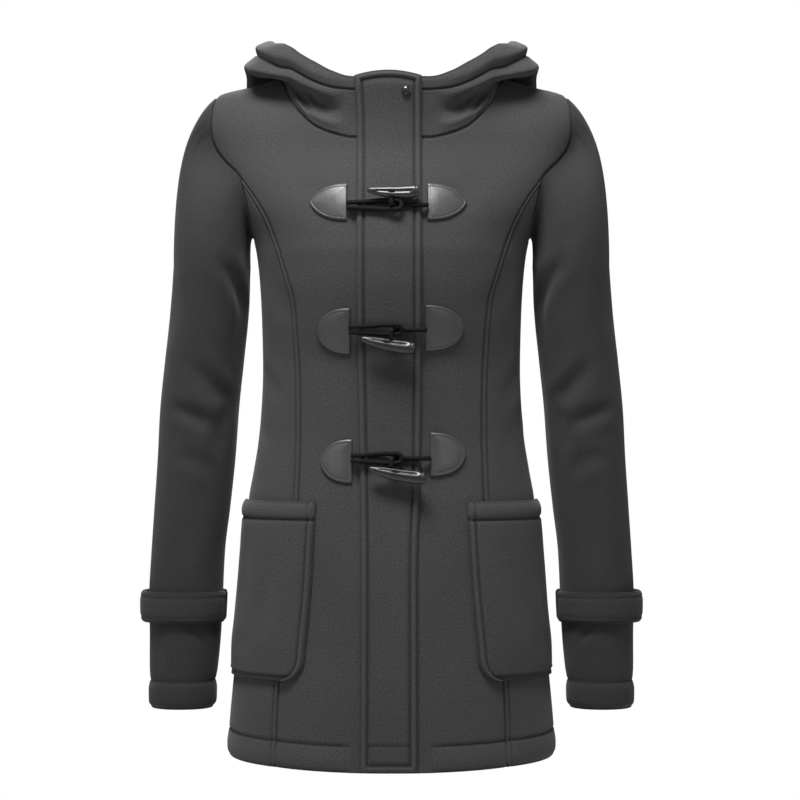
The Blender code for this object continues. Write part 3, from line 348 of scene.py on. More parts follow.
# the body's creases: from and to (millimetres round from the centre front, height), bow, width, depth
bodyCreases = [
    (58, -462, 40, -640, 6, 17, 1.5), (-60, -470, -46, -655, -5, 18, 1.6),
    (104, -640, 98, -700, 2, 12, 1.0), (196, -300, 128, -352, -5, 10, 1.5),
    (206, -338, 150, -376, 4, 9, 1.3), (-198, -306, -126, -346, 5, 10, 1.6),
    (-208, -350, -150, -384, -4, 9, 1.2), (150, -196, 92, -252, 6, 13, 1.1),
    (-152, -200, -96, -262, -6, 13, 1.2), (196, -420, 178, -560, 6, 16, 1.3),
    (-200, -430, -186, -585, -6, 15, 1.2), (60, -96, 44, -170, 4, 14, 0.9),
    (-62, -94, -48, -176, -4, 14, 0.9),
    # behind
    (250, -292, 330, -338, 7, 11, 3.6), (244, -344, 312, -372, -5, 9, 2.9),
    (-250, -300, -336, -330, -6, 11, 3.5), (-246, -352, -306, -386, 5, 9, 2.8),
    (372, -420, 384, -640, 7, 18, 4.2), (-368, -430, -352, -660, -8, 19, 4.2),
    (300, -470, 318, -690, 6, 15, 3.4), (-296, -460, -312, -672, -6, 15, 3.2),
    (420, -300, 396, -352, 5, 11, 2.6), (340, -160, 392, -246, 6, 14, 2.0),
    (-338, -152, -396, -240, -6, 14, 2.1), (432, -480, 428, -700, 4, 18, 1.9)]
# millimetres round the body to a degree, and the height at which its creases have faded, over how much
bodyRound, creaseTop, creaseFade = 2.4, -85.0, 40.0


def bodyFolds(angle, z, face, side):
    # how far the creases push the body at that angle from the centre front or back, on that side
    girth = side * (angle if face < 0 else 180 - angle) * bodyRound
    return creased(girth, z, bodyCreases) * rise((creaseTop - z) / creaseFade)


# meshes from grids
def gridNormals(grid, closed=False):
    # square to the grid: its step across, crossed with its step down
    across = np.roll(grid, -1, axis=1) - np.roll(grid, 1, axis=1) if closed else np.gradient(grid, axis=1)
    return unit(np.cross(across, np.gradient(grid, axis=0)))


def wrapped(grid):
    # a tube's grid with its first column again at the end
    return np.concatenate([grid, grid[:, :1]], axis=1)


kinds = {
    # finish: the record's slot it belongs to, and the ending of its pieces' names
    "fleece": ("fleece", "_cloth"), "shadedSleeveFleece": ("fleece", "_cloth"), "thread": ("fleece", ""),
    "leather": ("leather", "_leather"), "blackThread": ("leather", ""), "horn": ("horn", "_horn"),
    "cord": ("cord", "_braid"), "snap": ("snap_metal", "_cap")}
paintedShade = {"dark": 0.46, "least": 0.3, "most": 1.1, "rim": 0.7}  # painted shade: how much the colour darkens where the relief sinks and on the rims, and lightens a little where it swells
rimShares = (0.28, 0.72)  # where a rim's two rows of points lie between the outer and the inner face


def addPiece(name, points, faces, kind, uv=None, shade=None, replaced=True):
    # a smooth mesh on the frame's one body, which stands for the CAD node of its name
    slotName, ending = kinds[kind]
    mesh = bpy.data.meshes.new(name + ending)
    mesh.from_pydata((points * mm).tolist(), [], faces)
    if uv is not None:
        layer = mesh.uv_layers.new(name="cloth")
        layer.data.foreach_set("uv", (uv * mm).astype(np.float32).ravel())
    if shade is not None:
        # the painted shade of the relief, which the fleece's colour is multiplied by
        mesh.attributes.new("shade", "FLOAT", "POINT").data.foreach_set("value", shade.astype(np.float32))
    mesh.shade_smooth()
    mesh.materials.append(finishes[kind])
    piece = bpy.data.objects.new(name + ending, mesh)
    bpy.context.scene.collection.objects.link(piece)
    if replaced:
        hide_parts(name)
    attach(piece, "root")
    return piece


def insideOut(points, quads):
    # whether the faces enclose a negative volume
    corners = points[np.concatenate([quads[:, [0, 1, 2]], quads[:, [0, 2, 3]]])] - points.mean(axis=0)
    return np.linalg.det(corners).sum() < 0


def cells(rows, cols):
    # the four corners of every cell of a grid, as (row, column)
    r, c = (k.ravel() for k in np.meshgrid(np.arange(rows - 1), np.arange(cols - 1), indexing="ij"))
    return np.stack([r, r, r + 1, r + 1], axis=1), np.stack([c, c + 1, c + 1, c], axis=1)


def edgeLoops(rows, cols, closed):
    # the way round a grid's edge: one loop for a patch, two for a tube
    c, r = np.arange(cols), np.arange(rows)
    if closed:
        return [(0 * c, c), (0 * c + rows - 1, c[::-1])]
    return [(np.concatenate([0 * c[1:], r[:-1], 0 * c[1:] + rows - 1, r[:0:-1], [0]]),
             np.concatenate([c[:-1], 0 * r[1:] + cols - 1, c[:0:-1], 0 * r[1:], [0]]))]


def clothWall(name, outer, inner, relief, rims, kind="fleece", closed=False):
    # a closed wall between two grids. rims: how far its rim bulges at the first and last row, then at the
    # first and last column. Shade is painted into the colour: darker where the relief sinks and on the rims,
    # a little lighter where it swells
    shade = np.clip(1 + paintedShade["dark"] * relief, paintedShade["least"], paintedShade["most"]).ravel()
    if closed:
        outer, inner = wrapped(outer), wrapped(inner)
    rows, cols = outer.shape[:2]
    width = cols - 1 if closed else cols
    across, down = arcs(outer, 1), arcs(outer, 0)
    flat = np.stack([across - across.mean(axis=1, keepdims=True), down], axis=-1)
    r, c = cells(rows, cols)
    ids, uv = r * width + c % width, flat[r, c]
    far = rows * width
    points = [outer[:, :width].reshape(-1, 3), inner[:, :width].reshape(-1, 3)]
    faces, uvs = [ids, ids[:, ::-1] + far], [uv, uv[:, ::-1]]
    start = 2 * far
    for row, col in edgeLoops(rows, cols, closed):
        beside = np.clip(row, 1, rows - 2), col if closed else np.clip(col, 1, cols - 2)
        way = unit(outer[row, col] - outer[beside])
        flatWay = unit(flat[row, col] - flat[beside]) * cloth["wall"]
        bulge = np.select([row == 0, row == rows - 1, col == 0], rims[:3], rims[3])[:, None]
        edge, back = outer[row, col], inner[row, col]
        count = len(row) - 1
        k = np.arange(count)
        bands = [row * width + col % width]
        for share in rimShares:
            points.append((edge + (back - edge) * share + way * bulge)[:count])
            bands.append(start + np.arange(count + 1) % count)
            start += count
        bands.append(bands[0] + far)
        for low, high, at, to in zip(bands[:-1], bands[1:], (0, *rimShares), (*rimShares, 1)):
            near, off = flat[row, col] + flatWay * at, flat[row, col] + flatWay * to
            faces.append(np.stack([low[k + 1], low[k], high[k], high[k + 1]], axis=1))
            uvs.append(np.stack([near[k + 1], near[k], off[k], off[k + 1]], axis=1))
    points, faces, uv = np.concatenate(points), np.concatenate(faces), np.concatenate(uvs)
    if insideOut(points, faces):
        faces, uv = faces[:, ::-1], uv[:, ::-1]
    # painted shade: the outer face follows the relief, the inner face is left as it is, the rims are darkened
    shade = np.concatenate([shade, 0 * shade + 1, np.full(len(points) - 2 * len(shade), paintedShade["rim"])])
    return addPiece(name, points, faces.tolist(), kind, uv, shade)


def roundPiece(name, rings, kind):
    # a stack of rings closed by a fan of faces at each end
    rows, cols = rings.shape[:2]
    r, c = cells(rows, cols + 1)
    sides = r * cols + c % cols
    points = np.concatenate([rings.reshape(-1, 3), [rings[0].mean(axis=0), rings[-1].mean(axis=0)]])
    k, top = np.arange(cols), (rows - 1) * cols
    first = np.stack([0 * k + rows * cols, (k + 1) % cols, k], axis=1)
    last = np.stack([0 * k + rows * cols + 1, top + k, top + (k + 1) % cols], axis=1)
    faces = sides.tolist() + first.tolist() + last.tolist()
    if insideOut(points, sides):
        faces = [face[::-1] for face in faces]
    return addPiece(name, points, faces, kind)


def mirrored(points, side):
    # the wearer's right half is the left one with x turned round
    return points * np.array([side, 1, 1])


def seamRoll(distance):
    # the cloth rolls in towards a seam
    return -cloth["roll"] * hump(distance / cloth["rollWide"])


def pressedLine(distance, at, deep=1.0):
    # a row of stitching pulls a groove into the cloth
    return -deep * cloth["groove"] * hump((distance - at) / cloth["grooveWide"])


def traced(grid, distance, target, down=False):
    # the line of points at which distance reaches its target, one on each row, or in each column
    if down:
        grid, distance = grid.transpose(1, 0, 2), distance.T
    goals = np.broadcast_to(target, len(grid))
    return np.array([[np.interp(goal, far, row[:, k]) for k in range(3)]
                     for goal, far, row in zip(goals, distance, grid)])


def wallFaces(grid, normal, relief, folds, side):
    # the cloth's outer and inner face: the creases move both, the relief only the outer one
    return [mirrored(grid + normal * far[..., None], side) for far in (relief + folds, folds - cloth["wall"])]


# finishes
class Wires:
    # short ways to add and join shader nodes
    def __init__(self, finish):
        self.tree = finish.node_tree

    def join(self, value, socket):
        if isinstance(value, (int, float, tuple)):
            socket.default_value = value
        else:
            self.tree.links.new(value, socket)

    def node(self, kind, **sockets):
        made = self.tree.nodes.new("ShaderNode" + kind)
        for name, value in sockets.items():
            self.join(value, made.inputs[name])
        return made

    def place(self):
        return self.node("TexCoord").outputs["Object"]

    def math(self, work, a, b=0.0):
        made = self.node("Math")
        made.operation = work
        self.join(a, made.inputs[0])
        self.join(b, made.inputs[1])
        return made.outputs[0]

    def noise(self, where, scale, detail=2.0):
        return self.node("TexNoise", Vector=where, Scale=scale, Detail=detail).outputs["Fac"]

    def spread(self, value, low, high):
        # 0 to 1 becomes low to high
        return self.math("ADD", self.math("MULTIPLY", value, high - low), low)

    def dimmed(self, colour, share):
        # a colour times a number
        made = self.node("Mix")
        made.data_type = "RGBA"
        made.blend_type = "MULTIPLY"
        made.inputs["Factor"].default_value = 1.0
        made.inputs[6].default_value = (*colour, 1)
        self.join(share, made.inputs[7])
        return made.outputs[2]

    def bumped(self, height, strength, shader):
        made = self.node("Bump", Strength=strength, Distance=grainDepth, Height=height)
        self.join(made.outputs[0], shader.inputs["Normal"])


grainDepth = 0.0004  # metres
# the sleeves' and cuff straps' fleece is the same cloth made darker: painted shade
fleeceTones = {"fleece": (0.0435, 0.0435, 0.0444), "shadedSleeveFleece": (0.0235, 0.0235, 0.0241)}
fleeceLook = {
    "rough": 0.93, "sheen": 0.08, "sheenRough": 0.45, "bump": 0.5, "napBump": 0.9,
    # the weave's repeat in metres and its slant, the scales of the noises, and the tones that each gives
    "weave": 0.0021, "slant": 0.9, "nap": 1500.0, "patch": 9.0, "tufts": 430.0,
    "weaveTone": (0.86, 1.08), "napTone": (0.58, 1.42), "patchTone": (0.84, 1.16), "tuftsTone": (0.45, 1.55)}


def makeFleece(kind):
    # a brushed twill: two slanting ribs crossing, the product of their sines, with a nap over them
    look, colour = fleeceLook, fleeceTones[kind]
    finish, shader = newFinish(kind + "_nap", colour, look["rough"], Sheen_Weight=look["sheen"],
                               Sheen_Roughness=look["sheenRough"])
    wires = Wires(finish)
    layer = wires.node("UVMap")
    layer.uv_map = "cloth"
    cut = layer.outputs[0]
    turned = wires.node("Mapping", Vector=cut, Rotation=(0, 0, look["slant"]),
                        Scale=(6.2832 / look["weave"],) * 3)
    parts = wires.node("SeparateXYZ", Vector=turned.outputs[0])
    ribs = wires.math("MULTIPLY", wires.math("SINE", parts.outputs[0]), wires.math("SINE", parts.outputs[1]))
    grain = {"weave": wires.spread(ribs, 0.5, 1.0), "nap": wires.noise(cut, look["nap"], 3.0),
             "patch": wires.noise(wires.place(), look["patch"], 3.0),
             "tufts": wires.noise(cut, look["tufts"])}
    # painted shade: the tone starts from the shade painted into the mesh from its relief
    shade = wires.node("Attribute")
    shade.attribute_name = "shade"
    tone = shade.outputs["Fac"]
    for name, value in grain.items():
        tone = wires.math("MULTIPLY", tone, wires.spread(value, *look[name + "Tone"]))
    wires.join(wires.dimmed(colour, tone), shader.inputs["Base Color"])
    wires.bumped(wires.math("ADD", grain["weave"], wires.math("MULTIPLY", grain["nap"], look["napBump"])),
                 look["bump"], shader)
    return finish


leatherLook = {"colour": (0.036, 0.036, 0.039), "shine": 1.0, "cloud": 160.0, "rough": (0.34, 0.54),
               "pebble": 750.0, "bump": 0.18}


def makeLeather():
    # black glazed leather: a pebbled grain under a soft, cloudy gloss
    look = leatherLook
    finish, shader = newFinish("leather_hide", look["colour"], 0.3, Specular_IOR_Level=look["shine"])
    wires = Wires(finish)
    place = wires.place()
    wires.join(wires.spread(wires.noise(place, look["cloud"]), *look["rough"]), shader.inputs["Roughness"])
    pebbles = wires.node("TexVoronoi", Scale=look["pebble"], Vector=place)
    wires.bumped(pebbles.outputs["Distance"], look["bump"], shader)
    return finish


hornLook = {"colour": (0.014, 0.0125, 0.012), "streaks": (30, 160, 160), "tone": (0.3, 2.2)}


def makeHorn():
    # polished horn, near black with faint smoky streaks along it
    finish, shader = newFinish("horn_polish", (0.012, 0.011, 0.011), 0.38, Specular_IOR_Level=0.6,
                               Coat_Weight=0.15, Coat_Roughness=0.2)
    wires = Wires(finish)
    longer = wires.node("Mapping", Vector=wires.place(), Scale=hornLook["streaks"])
    streak = wires.spread(wires.noise(longer.outputs[0], 1.0, 4.0), *hornLook["tone"])
    wires.join(wires.dimmed(hornLook["colour"], streak), shader.inputs["Base Color"])
    return finish


finishes = {
    "fleece": makeFleece("fleece"),
    "shadedSleeveFleece": makeFleece("shadedSleeveFleece"),
    "leather": makeLeather(),
    "horn": makeHorn(),
    "cord": newFinish("cord_braid", (0.0045, 0.0045, 0.005), 0.8, Specular_IOR_Level=0.2)[0],
    # the thread is darker than the fleece so that it stands for the shade of the groove it lies in: painted
    # shade
    "thread": newFinish("thread", (0.021, 0.021, 0.022), 0.6, Sheen_Weight=0.1)[0],
    "blackThread": newFinish("black_thread", (0.03, 0.03, 0.032), 0.45)[0],
    "snap": newFinish("snap_enamel", (0.035, 0.035, 0.038), 0.22, Metallic=0.6, Coat_Weight=0.4)[0],
}
print("finishes ready")


def sheet(name, outer, inner, relief, rims, kind="fleece", closed=False):
    # a wall of cloth; the areas of its faces are read but not used
    piece = clothWall(name, outer, inner, relief, rims, kind, closed)
    areas = np.empty(len(piece.data.polygons))
    piece.data.polygons.foreach_get("area", areas)


# stitching
threads = {"body": [], "sleeves": [], "hood": [], "front": [], "tabs": []}
stitch = {
    "long": 2.5, "gap": 0.9, "lead": 0.15, "thick": 0.34, "proud": 0.12, "sides": 5,
    # rings along a stitch: how far along it, how thick, and how high
    "rings": ((0, 0.35, -0.5), (0.22, 0.95, 0.05), (0.78, 0.95, 0.05), (1, 0.35, -0.5))}


def sew(group, line, normals):
    # stitches laid end to end along a line, each kept as its start, end and normal
    run = arcs(line, 0)
    if run[-1] < 2 * stitch["long"]:
        return
    count = int(run[-1] / (stitch["long"] + stitch["gap"]))
    starts = (np.arange(count) + stitch["lead"]) / count
    ends = np.minimum(starts + stitch["long"] / run[-1], 1)
    middles = (starts + ends) / 2 * run[-1]
    up = np.stack([np.interp(middles, run, normals[:, k]) for k in range(3)], axis=1)
    threads[group].append(np.stack([walked(line, starts), walked(line, ends), up], axis=1))


def sewWhere(group, outer, normal, distance, target, keep=slice(None), down=False):
    # stitches where the distance from an edge reaches its target
    sew(group, *(traced(grid, distance, target, down)[keep] for grid in (outer, normal)))


def makeStitches(name, rows, kind):
    # each stitch is a short thread whose ends dive into the cloth: rings along its line, fuller in the middle
    starts, ends, normals = np.concatenate(rows).transpose(1, 0, 2)
    along = unit(ends - starts)
    across = unit(np.cross(along, normals))
    up = np.cross(across, along)
    sides, each = stitch["sides"], stitch["sides"] * len(stitch["rings"])
    turn = np.linspace(0, 2 * np.pi, sides, endpoint=False)[:, None]
    circle = across[:, None] * np.cos(turn) + up[:, None] * np.sin(turn)
    rings = []
    for share, thick, lift in stitch["rings"]:
        middle = starts + (ends - starts) * share + up * (stitch["proud"] + lift)
        rings.append(middle[:, None] + circle * thick * stitch["thick"])
    points = np.stack(rings, axis=1).reshape(-1, 3)
    k = np.arange(sides)
    low, high = (np.arange(len(rings) - 1)[:, None] * sides + n for n in (k, (k + 1) % sides))
    quads = np.stack([high, low, low + sides, high + sides], axis=-1).reshape(-1, 4)
    first = np.arange(len(starts))[:, None] * each
    mesh = (first[..., None] + quads).reshape(-1, 4).tolist()
    mesh += (first + k).tolist() + (first + each - 1 - k).tolist()
    addPiece(name, points, mesh, kind, replaced=False)
    print(f"  {name}: {len(starts)} stitches")


# body panels
def joinShare(face):
    # how far down the armhole from the shoulder tip the princess seam meets it
    points = np.stack([armholes[face]["x"], armholes[face]["height"]], axis=1)
    run = arcs(points, 0)
    return run[np.argmin(np.abs(points[:, 1] - princessSeams[face]["height"].max()))] / run[-1]


def filled(left, right, low, high, u, v):
    # a four-sided patch from its edges: sides mixed across plus ends mixed up, less the corners' own mix
    u, v = u[None, :, None], v[:, None, None]
    corners = (1 - u) * (1 - v) * low[0] + u * (1 - v) * low[-1] + (1 - u) * v * high[0] + u * v * high[-1]
    return (1 - u) * left[:, None] + u * right[:, None] + (1 - v) * low[None] + v * high[None] - corners


def lowRows(hem):
    # heights of the rows from the hem to the chest: close together over the hem, then even
    over = np.concatenate([edgeSteps[:5], np.linspace(5.2, 38, 15)])
    upper = np.linspace(0, 1, 106)[1:, None]
    start = hem + over[-1]
    return np.concatenate([hem + over[:, None], start + (seamBase - start) * upper])


def hemFade(z):
    # creases fade towards the stitched hem
    return rise((z - hemSide + 10) / 60 + 0.55)


hemLook = {"full": 1.3, "fullAt": 0.45, "fullWide": 0.62, "pressed": 1.3, "round": 1.5, "roundWide": 4.0}


def hemRelief(z, hem):
    # a turned-up hem: fuller below its stitching, which is pressed in, and rounded at the fold
    look, above = hemLook, z - hem
    full = look["full"] * hump((above - look["fullAt"] * hemStitch) / (look["fullWide"] * hemStitch))
    fold = look["round"] * hump(above / look["roundWide"])
    return full + pressedLine(above, hemStitch, look["pressed"]) - fold


underPlacket = {"hidden": 36, "flat": 38, "fade": 12}  # from the centre front, where no hem shows or swells


def middlePanel(name, side, face):
    # half of the front, or the whole back between its princess seams
    seam, armhole, steps = princessSeams[face], armholes[face], neckSteps[face]
    edge = cloth["gap"] / 2
    innerX = edge if face < 0 else 0.0
    corner = (len(steps) - 1) / (len(steps) + 2)  # the share of the top that is neckline, not shoulder
    fine = np.array(edgeSteps) / 100
    u = np.concatenate([fine[:4] if face < 0 else [0], np.linspace(0.03, corner, 21),
                        np.linspace(corner, 1 - fine[-1], 8)[1:-1], 1 - fine[::-1]])
    # below the chest the rows are level
    hem = hemHeight(bodyAngle(read(seam, "x", hemSide) * u, hemSide, face))
    z = lowRows(hem)
    x = innerX + (read(seam, "x", z) - edge - innerX) * u
    # above it they run from the middle to the armhole, and the columns end on the neckline and the shoulder
    top = seam["height"].max()
    upSeam = np.linspace(seamBase, top, 60)
    arm = alongSeam(armhole, np.linspace(joinShare(face), 0, 120)[1:])
    right = np.concatenate([np.stack([read(seam, "x", upSeam) - edge, upSeam], axis=1), arm])
    join = arcs(right, 0)[59] / arcs(right, 0)[-1]
    upper = 1 - (1 - np.linspace(0, 1, 34)[1:]) ** 1.8
    v = np.concatenate([np.linspace(0, join, 22), join + (1 - join) * upper])
    right = walked(right, v)
    neckAngles = smooth(np.linspace(0, corner, len(steps)), steps, u[u <= corner])
    neck = np.stack([read(neckline, "x", neckAngles), read(neckline, "height", neckAngles)], axis=1)
    shoulderX = neck[-1, 0] + (right[-1, 0] - neck[-1, 0]) * (u[u > corner] - corner) / (1 - corner)
    shoulder = np.stack([shoulderX, smooth(shoulderRidge["x"], shoulderRidge["height"], shoulderX)], axis=1)
    high = np.concatenate([neck, shoulder])
    high[0, 0] = innerX
    left = np.stack([np.full(len(v), innerX), seamBase + v * (high[0, 1] - seamBase)], axis=1)
    patch = filled(left, right, np.stack([x[-1], z[-1]], axis=1), high, u, v)[1:]
    x, z = np.concatenate([x, patch[..., 0]]), np.concatenate([z, patch[..., 1]])
    grid = bodyAt(x, z, face)
    grid[-1, u >= corner, 1] = sideBack + face * edge
    normal = gridNormals(grid) * -face
    overHem = rise((np.abs(x) - underPlacket["flat"]) / underPlacket["fade"]) if face < 0 else 1.0
    relief = hemRelief(z, hem) * overHem + seamRoll(arcsBack(grid, 0)) + seamRoll(arcsBack(grid, 1))
    folds = [bodyFolds(bodyAngle(x, z, face), z, face, way) for way in ((side,) if face < 0 else (1, -1))]
    if face > 0:
        # the back is its left half and that half's mirror image, creased in its own way
        flip = np.array([-1, 1, 1])
        folds = [np.concatenate([folds[1][:, :0:-1], folds[0]], axis=1)]
        relief, z = (np.concatenate([one[:, :0:-1], one], axis=1) for one in (relief, z))
        grid, normal = (np.concatenate([one[:, :0:-1] * flip, one], axis=1) for one in (grid, normal))
        normal[:, len(u) - 1, 0] = 0
    folds = folds[0] * hemFade(z)
    outer, inner = wallFaces(grid, normal, relief, folds, side)
    sheet(name, outer, inner, relief, (0.9, 0, 0, 0))
    # the hem's stitching
    line, way = (traced(one, arcs(grid, 0), hemStitch, down=True) for one in (outer, mirrored(normal, side)))
    shown = (np.abs(line[:, 0]) > underPlacket["hidden"]) | (face > 0)
    sew("body", line[shown], way[shown])


def sidePanel(name, side, face):
    # the panel between a princess seam and the side seam, under the armhole
    seam, armhole = princessSeams[face], armholes[face]
    edge = cloth["gap"] / 2
    u = graded(72.0, 4.2, edgeSteps) / 72
    start = read(seam, "x", hemSide)
    hem = hemHeight(bodyAngle(start + (read(bodySections, "half", hemSide) - start) * u, hemSide, face))
    z = lowRows(hem)
    first = bodyAngle(read(seam, "x", z[:, :1]) + edge, z[:, :1], face)
    angle = first + (90 - first) * u
    top = seam["height"].max()
    v = 1 - (1 - np.linspace(0, 1, 26)) ** 1.35
    height = seamBase + v * (top - seamBase)
    left = np.stack([bodyAngle(read(seam, "x", height) + edge, height, face), height], axis=1)
    right = np.stack([np.full(len(v), 90.0), seamBase + v * (chestHeight - seamBase)], axis=1)
    arm = alongSeam(armhole, joinShare(face) + (1 - joinShare(face)) * (1 - (1 - u) ** 1.5))
    high = np.stack([bodyAngle(arm[:, 0], arm[:, 1], face), arm[:, 1]], axis=1)
    high[0], high[-1] = left[-1], right[-1]
    patch = filled(left, right, np.stack([angle[-1], z[-1]], axis=1), high, u, v)[1:]
    angle, z = np.concatenate([angle, patch[..., 0]]), np.concatenate([z, patch[..., 1]])
    grid = bodyTurned(angle, z, face)
    grid[:, -1, 1] = sideBack + face * edge
    normal = gridNormals(grid) * -face
    fromSeam, fromTop = arcs(grid, 1), arcsBack(grid, 0)
    relief = hemRelief(z, hem) + seamRoll(fromSeam) + seamRoll(arcsBack(grid, 1)) + seamRoll(fromTop)
    relief = relief + pressedLine(fromSeam, cloth["topstitch"]) * rise(fromTop / 8)
    relief = relief + 0.35 * hump((fromSeam - 3) / 2.4)  # a swell between the seam and its stitching
    folds = bodyFolds(angle, z, face, side) * hemFade(z)
    outer, inner = wallFaces(grid, normal, relief, folds, side)
    sheet(name, outer, inner, relief, (0.9, 0, 0, 0))
    normal = mirrored(normal, side)
    sewWhere("body", outer, normal, fromSeam, cloth["topstitch"], keep=slice(4, -6))
    sewWhere("body", outer, normal, arcs(grid, 0), hemStitch, down=True)


for hand, side in hands:
    middlePanel("front_" + hand, side, -1)
    sidePanel("side_front_" + hand, side, -1)
    sidePanel("side_back_" + hand, side, 1)
middlePanel("back", 1, 1)
print("body panels ready")


# sleeves
sleeveRound = 2.15  # the power of its squarish ellipse
capLook = {
    # the turns and shares of the headings that a column averages, and how far its curve's two handles reach:
    # under the arm, and how much more at the shoulder
    "mean": ((-26, 0.12), (-13, 0.22), (0, 0.32), (13, 0.22), (26, 0.12)), "start": (8, 22), "foot": (34, 86)}


def armholeLoop(psi, out):
    # the armhole on the wearer's left: psi 0 at the shoulder tip, 90 in front, 180 under the arm
    share = np.where(psi <= 180, psi, 360 - psi) / 180
    front, back = (bodyAt(*alongSeam(armholes[face], share).T, face, out) for face in (-1, 1))
    loop = np.where((psi <= 180)[:, None], front, back)
    loop[np.isclose(share, 0) | np.isclose(share, 1), 1] = sideBack
    return loop


def sleeveRing(psi, z):
    # a squarish ellipse round the arm at that height: psi 0 outwards, 90 in front, 180 towards the body
    turn, power = np.radians(psi), 2 / sleeveRound
    x, y, half, deep = (read(sleeveSections, name, z) for name in ("x", "y", "half", "deep"))
    return np.stack(np.broadcast_arrays(
        x + half * np.sign(np.cos(turn)) * np.abs(np.cos(turn)) ** power,
        y - deep * np.sign(np.sin(turn)) * np.abs(np.sin(turn)) ** power, z), axis=-1)


def armholeAway(psi):
    # square to the armhole, along the body's surface
    loop = armholeLoop(psi % 360, 0.0)
    run = armholeLoop((psi + 0.5) % 360, 0.0) - armholeLoop((psi - 0.5) % 360, 0.0)
    return unit(np.cross(loop - armholeLoop(psi % 360, -1.0), run))


def sleeveCap(psi, t):
    # each column of the cap is a cubic curve from the armhole to the first ring; it leaves the armhole in the
    # mean direction of a stretch of it, so the cap stays round where the armhole bends
    start, foot = armholeLoop(psi, 0.0) + armholeAway(psi) * cloth["gap"], sleeveRing(psi, capFoot)
    heading = unit(sum(share * armholeAway(psi + turn) for turn, share in capLook["mean"]))
    top = ((1 + np.cos(np.radians(psi))) / 2)[:, None]
    heading[:, 1:2] *= 1 - 0.9 * top**2
    (low, more), (footLow, footMore) = capLook["start"], capLook["foot"]
    second = start + unit(heading) * (low + more * top)
    third = foot + np.array([0, 0, 1.0]) * (footLow + footMore * top)
    third[:, 0] += 1.2 * (1 - top[:, 0]) ** 4
    t = t[:, None, None]
    return (1 - t) ** 3 * start + 3 * (1 - t) ** 2 * t * second + 3 * (1 - t) * t * t * third + t**3 * foot


# the sleeve's creases: from and to (degrees round, height), bow, width, depth
sleeveCreases = [
    (92, -184, 160, -260, 5, 8, 3.6), (88, -156, 102, -186, 2, 7, 1.2), (76, -290, 150, -344, -9, 8, 3.4),
    (40, -344, 126, -374, 3, 7, 3.0), (140, -334, 126, -408, -3, 9, 2.4), (56, -394, 130, -420, 4, 8, 1.6),
    (96, -404, 84, -528, 5, 13, 1.6), (96, -574, 128, -592, 2, 5, 2.0), (40, -584, 60, -622, 2, 8, 1.1),
    (26, -206, 34, -286, 4, 14, 0.9), (156, -204, 140, -300, 3, 9, 1.6),
    # towards the back
    (246, -176, 214, -258, -4, 8, 2.8), (330, -262, 236, -298, -6, 7, 2.9),
    (344, -312, 244, -352, -5, 7, 3.1), (214, -328, 262, -388, 5, 8, 2.2),
    (300, -392, 236, -418, -4, 8, 1.9), (262, -430, 276, -530, -5, 13, 1.6),
    (252, -577, 282, -600, 2, 6, 1.5), (322, -150, 300, -226, -4, 13, 1.6)]


def sleeveFolds(psi, z):
    # the creases on the sleeve laid open, read a turn back and a turn on as well
    arm = 0.75  # millimetres to a degree
    strokes = [(a0 * arm, b0, a1 * arm, b1, *more) for a0, b0, a1, b1, *more in sleeveCreases]
    return sum(creased(psi * arm + turn, z, strokes) for turn in (-360 * arm, 0, 360 * arm))


def sleeve(name, side):
    # the cap's curves, then rings down to the cuff
    near = np.array([0, 0.8, 1.7, 2.9, 4.5, 6.4, 9])
    psi = (180 + np.concatenate([near, np.linspace(12, 348, 100), 360 - near[:0:-1]])) % 360
    t = np.concatenate([np.array([0, 0.6, 1.3, 2.2, 3.4, 5, 7]) / 110, np.linspace(0.09, 1, 26)])
    z = np.concatenate([np.linspace(capFoot, -612, 112)[1:], np.linspace(-615, -654, 18),
                        [-655.6, -656.8, -657.8, -658.5, cuffEnd]])[:, None]
    grid = np.concatenate([sleeveCap(psi, t), sleeveRing(psi, z)])
    normal = gridNormals(grid, closed=True)
    normal[-1, :, 2] = 0
    girth = arcs(wrapped(grid), 1)
    fromSeam = np.minimum(girth[:, :-1], girth[:, -1:] - girth[:, :-1])
    fromTop, fromEnd = arcs(grid, 0), arcsBack(grid, 0)
    folds = sleeveFolds(psi, grid[..., 2]) * rise(fromTop / 60) * rise((fromEnd - 20) / 26)
    relief = seamRoll(fromTop) + seamRoll(fromSeam) + pressedLine(grid[..., 2], cuffStitch, 0.8)
    relief = relief - 1.3 * hump(fromEnd / 3.6)
    outer, inner = wallFaces(grid, normal, relief, folds, side)
    inner[-1, :, 2] = cuffEnd
    # painted shade: the sleeve takes the darker copy of the fleece
    sheet(name, outer, inner, relief, (0, 0.9, 0, 0),
          "shadedSleeveFleece", closed=True)
    row = np.argmin(np.abs(grid[:, 0, 2] - cuffStitch))
    sew("sleeves", outer[row], mirrored(normal, side)[row])


strapCut = {"top": -539.5, "bottom": -570.0, "gap": 1.4, "standOff": 3.2, "standWide": 75.0, "thick": 4.4,
            "stitch": 4.6, "ends": 166.0}


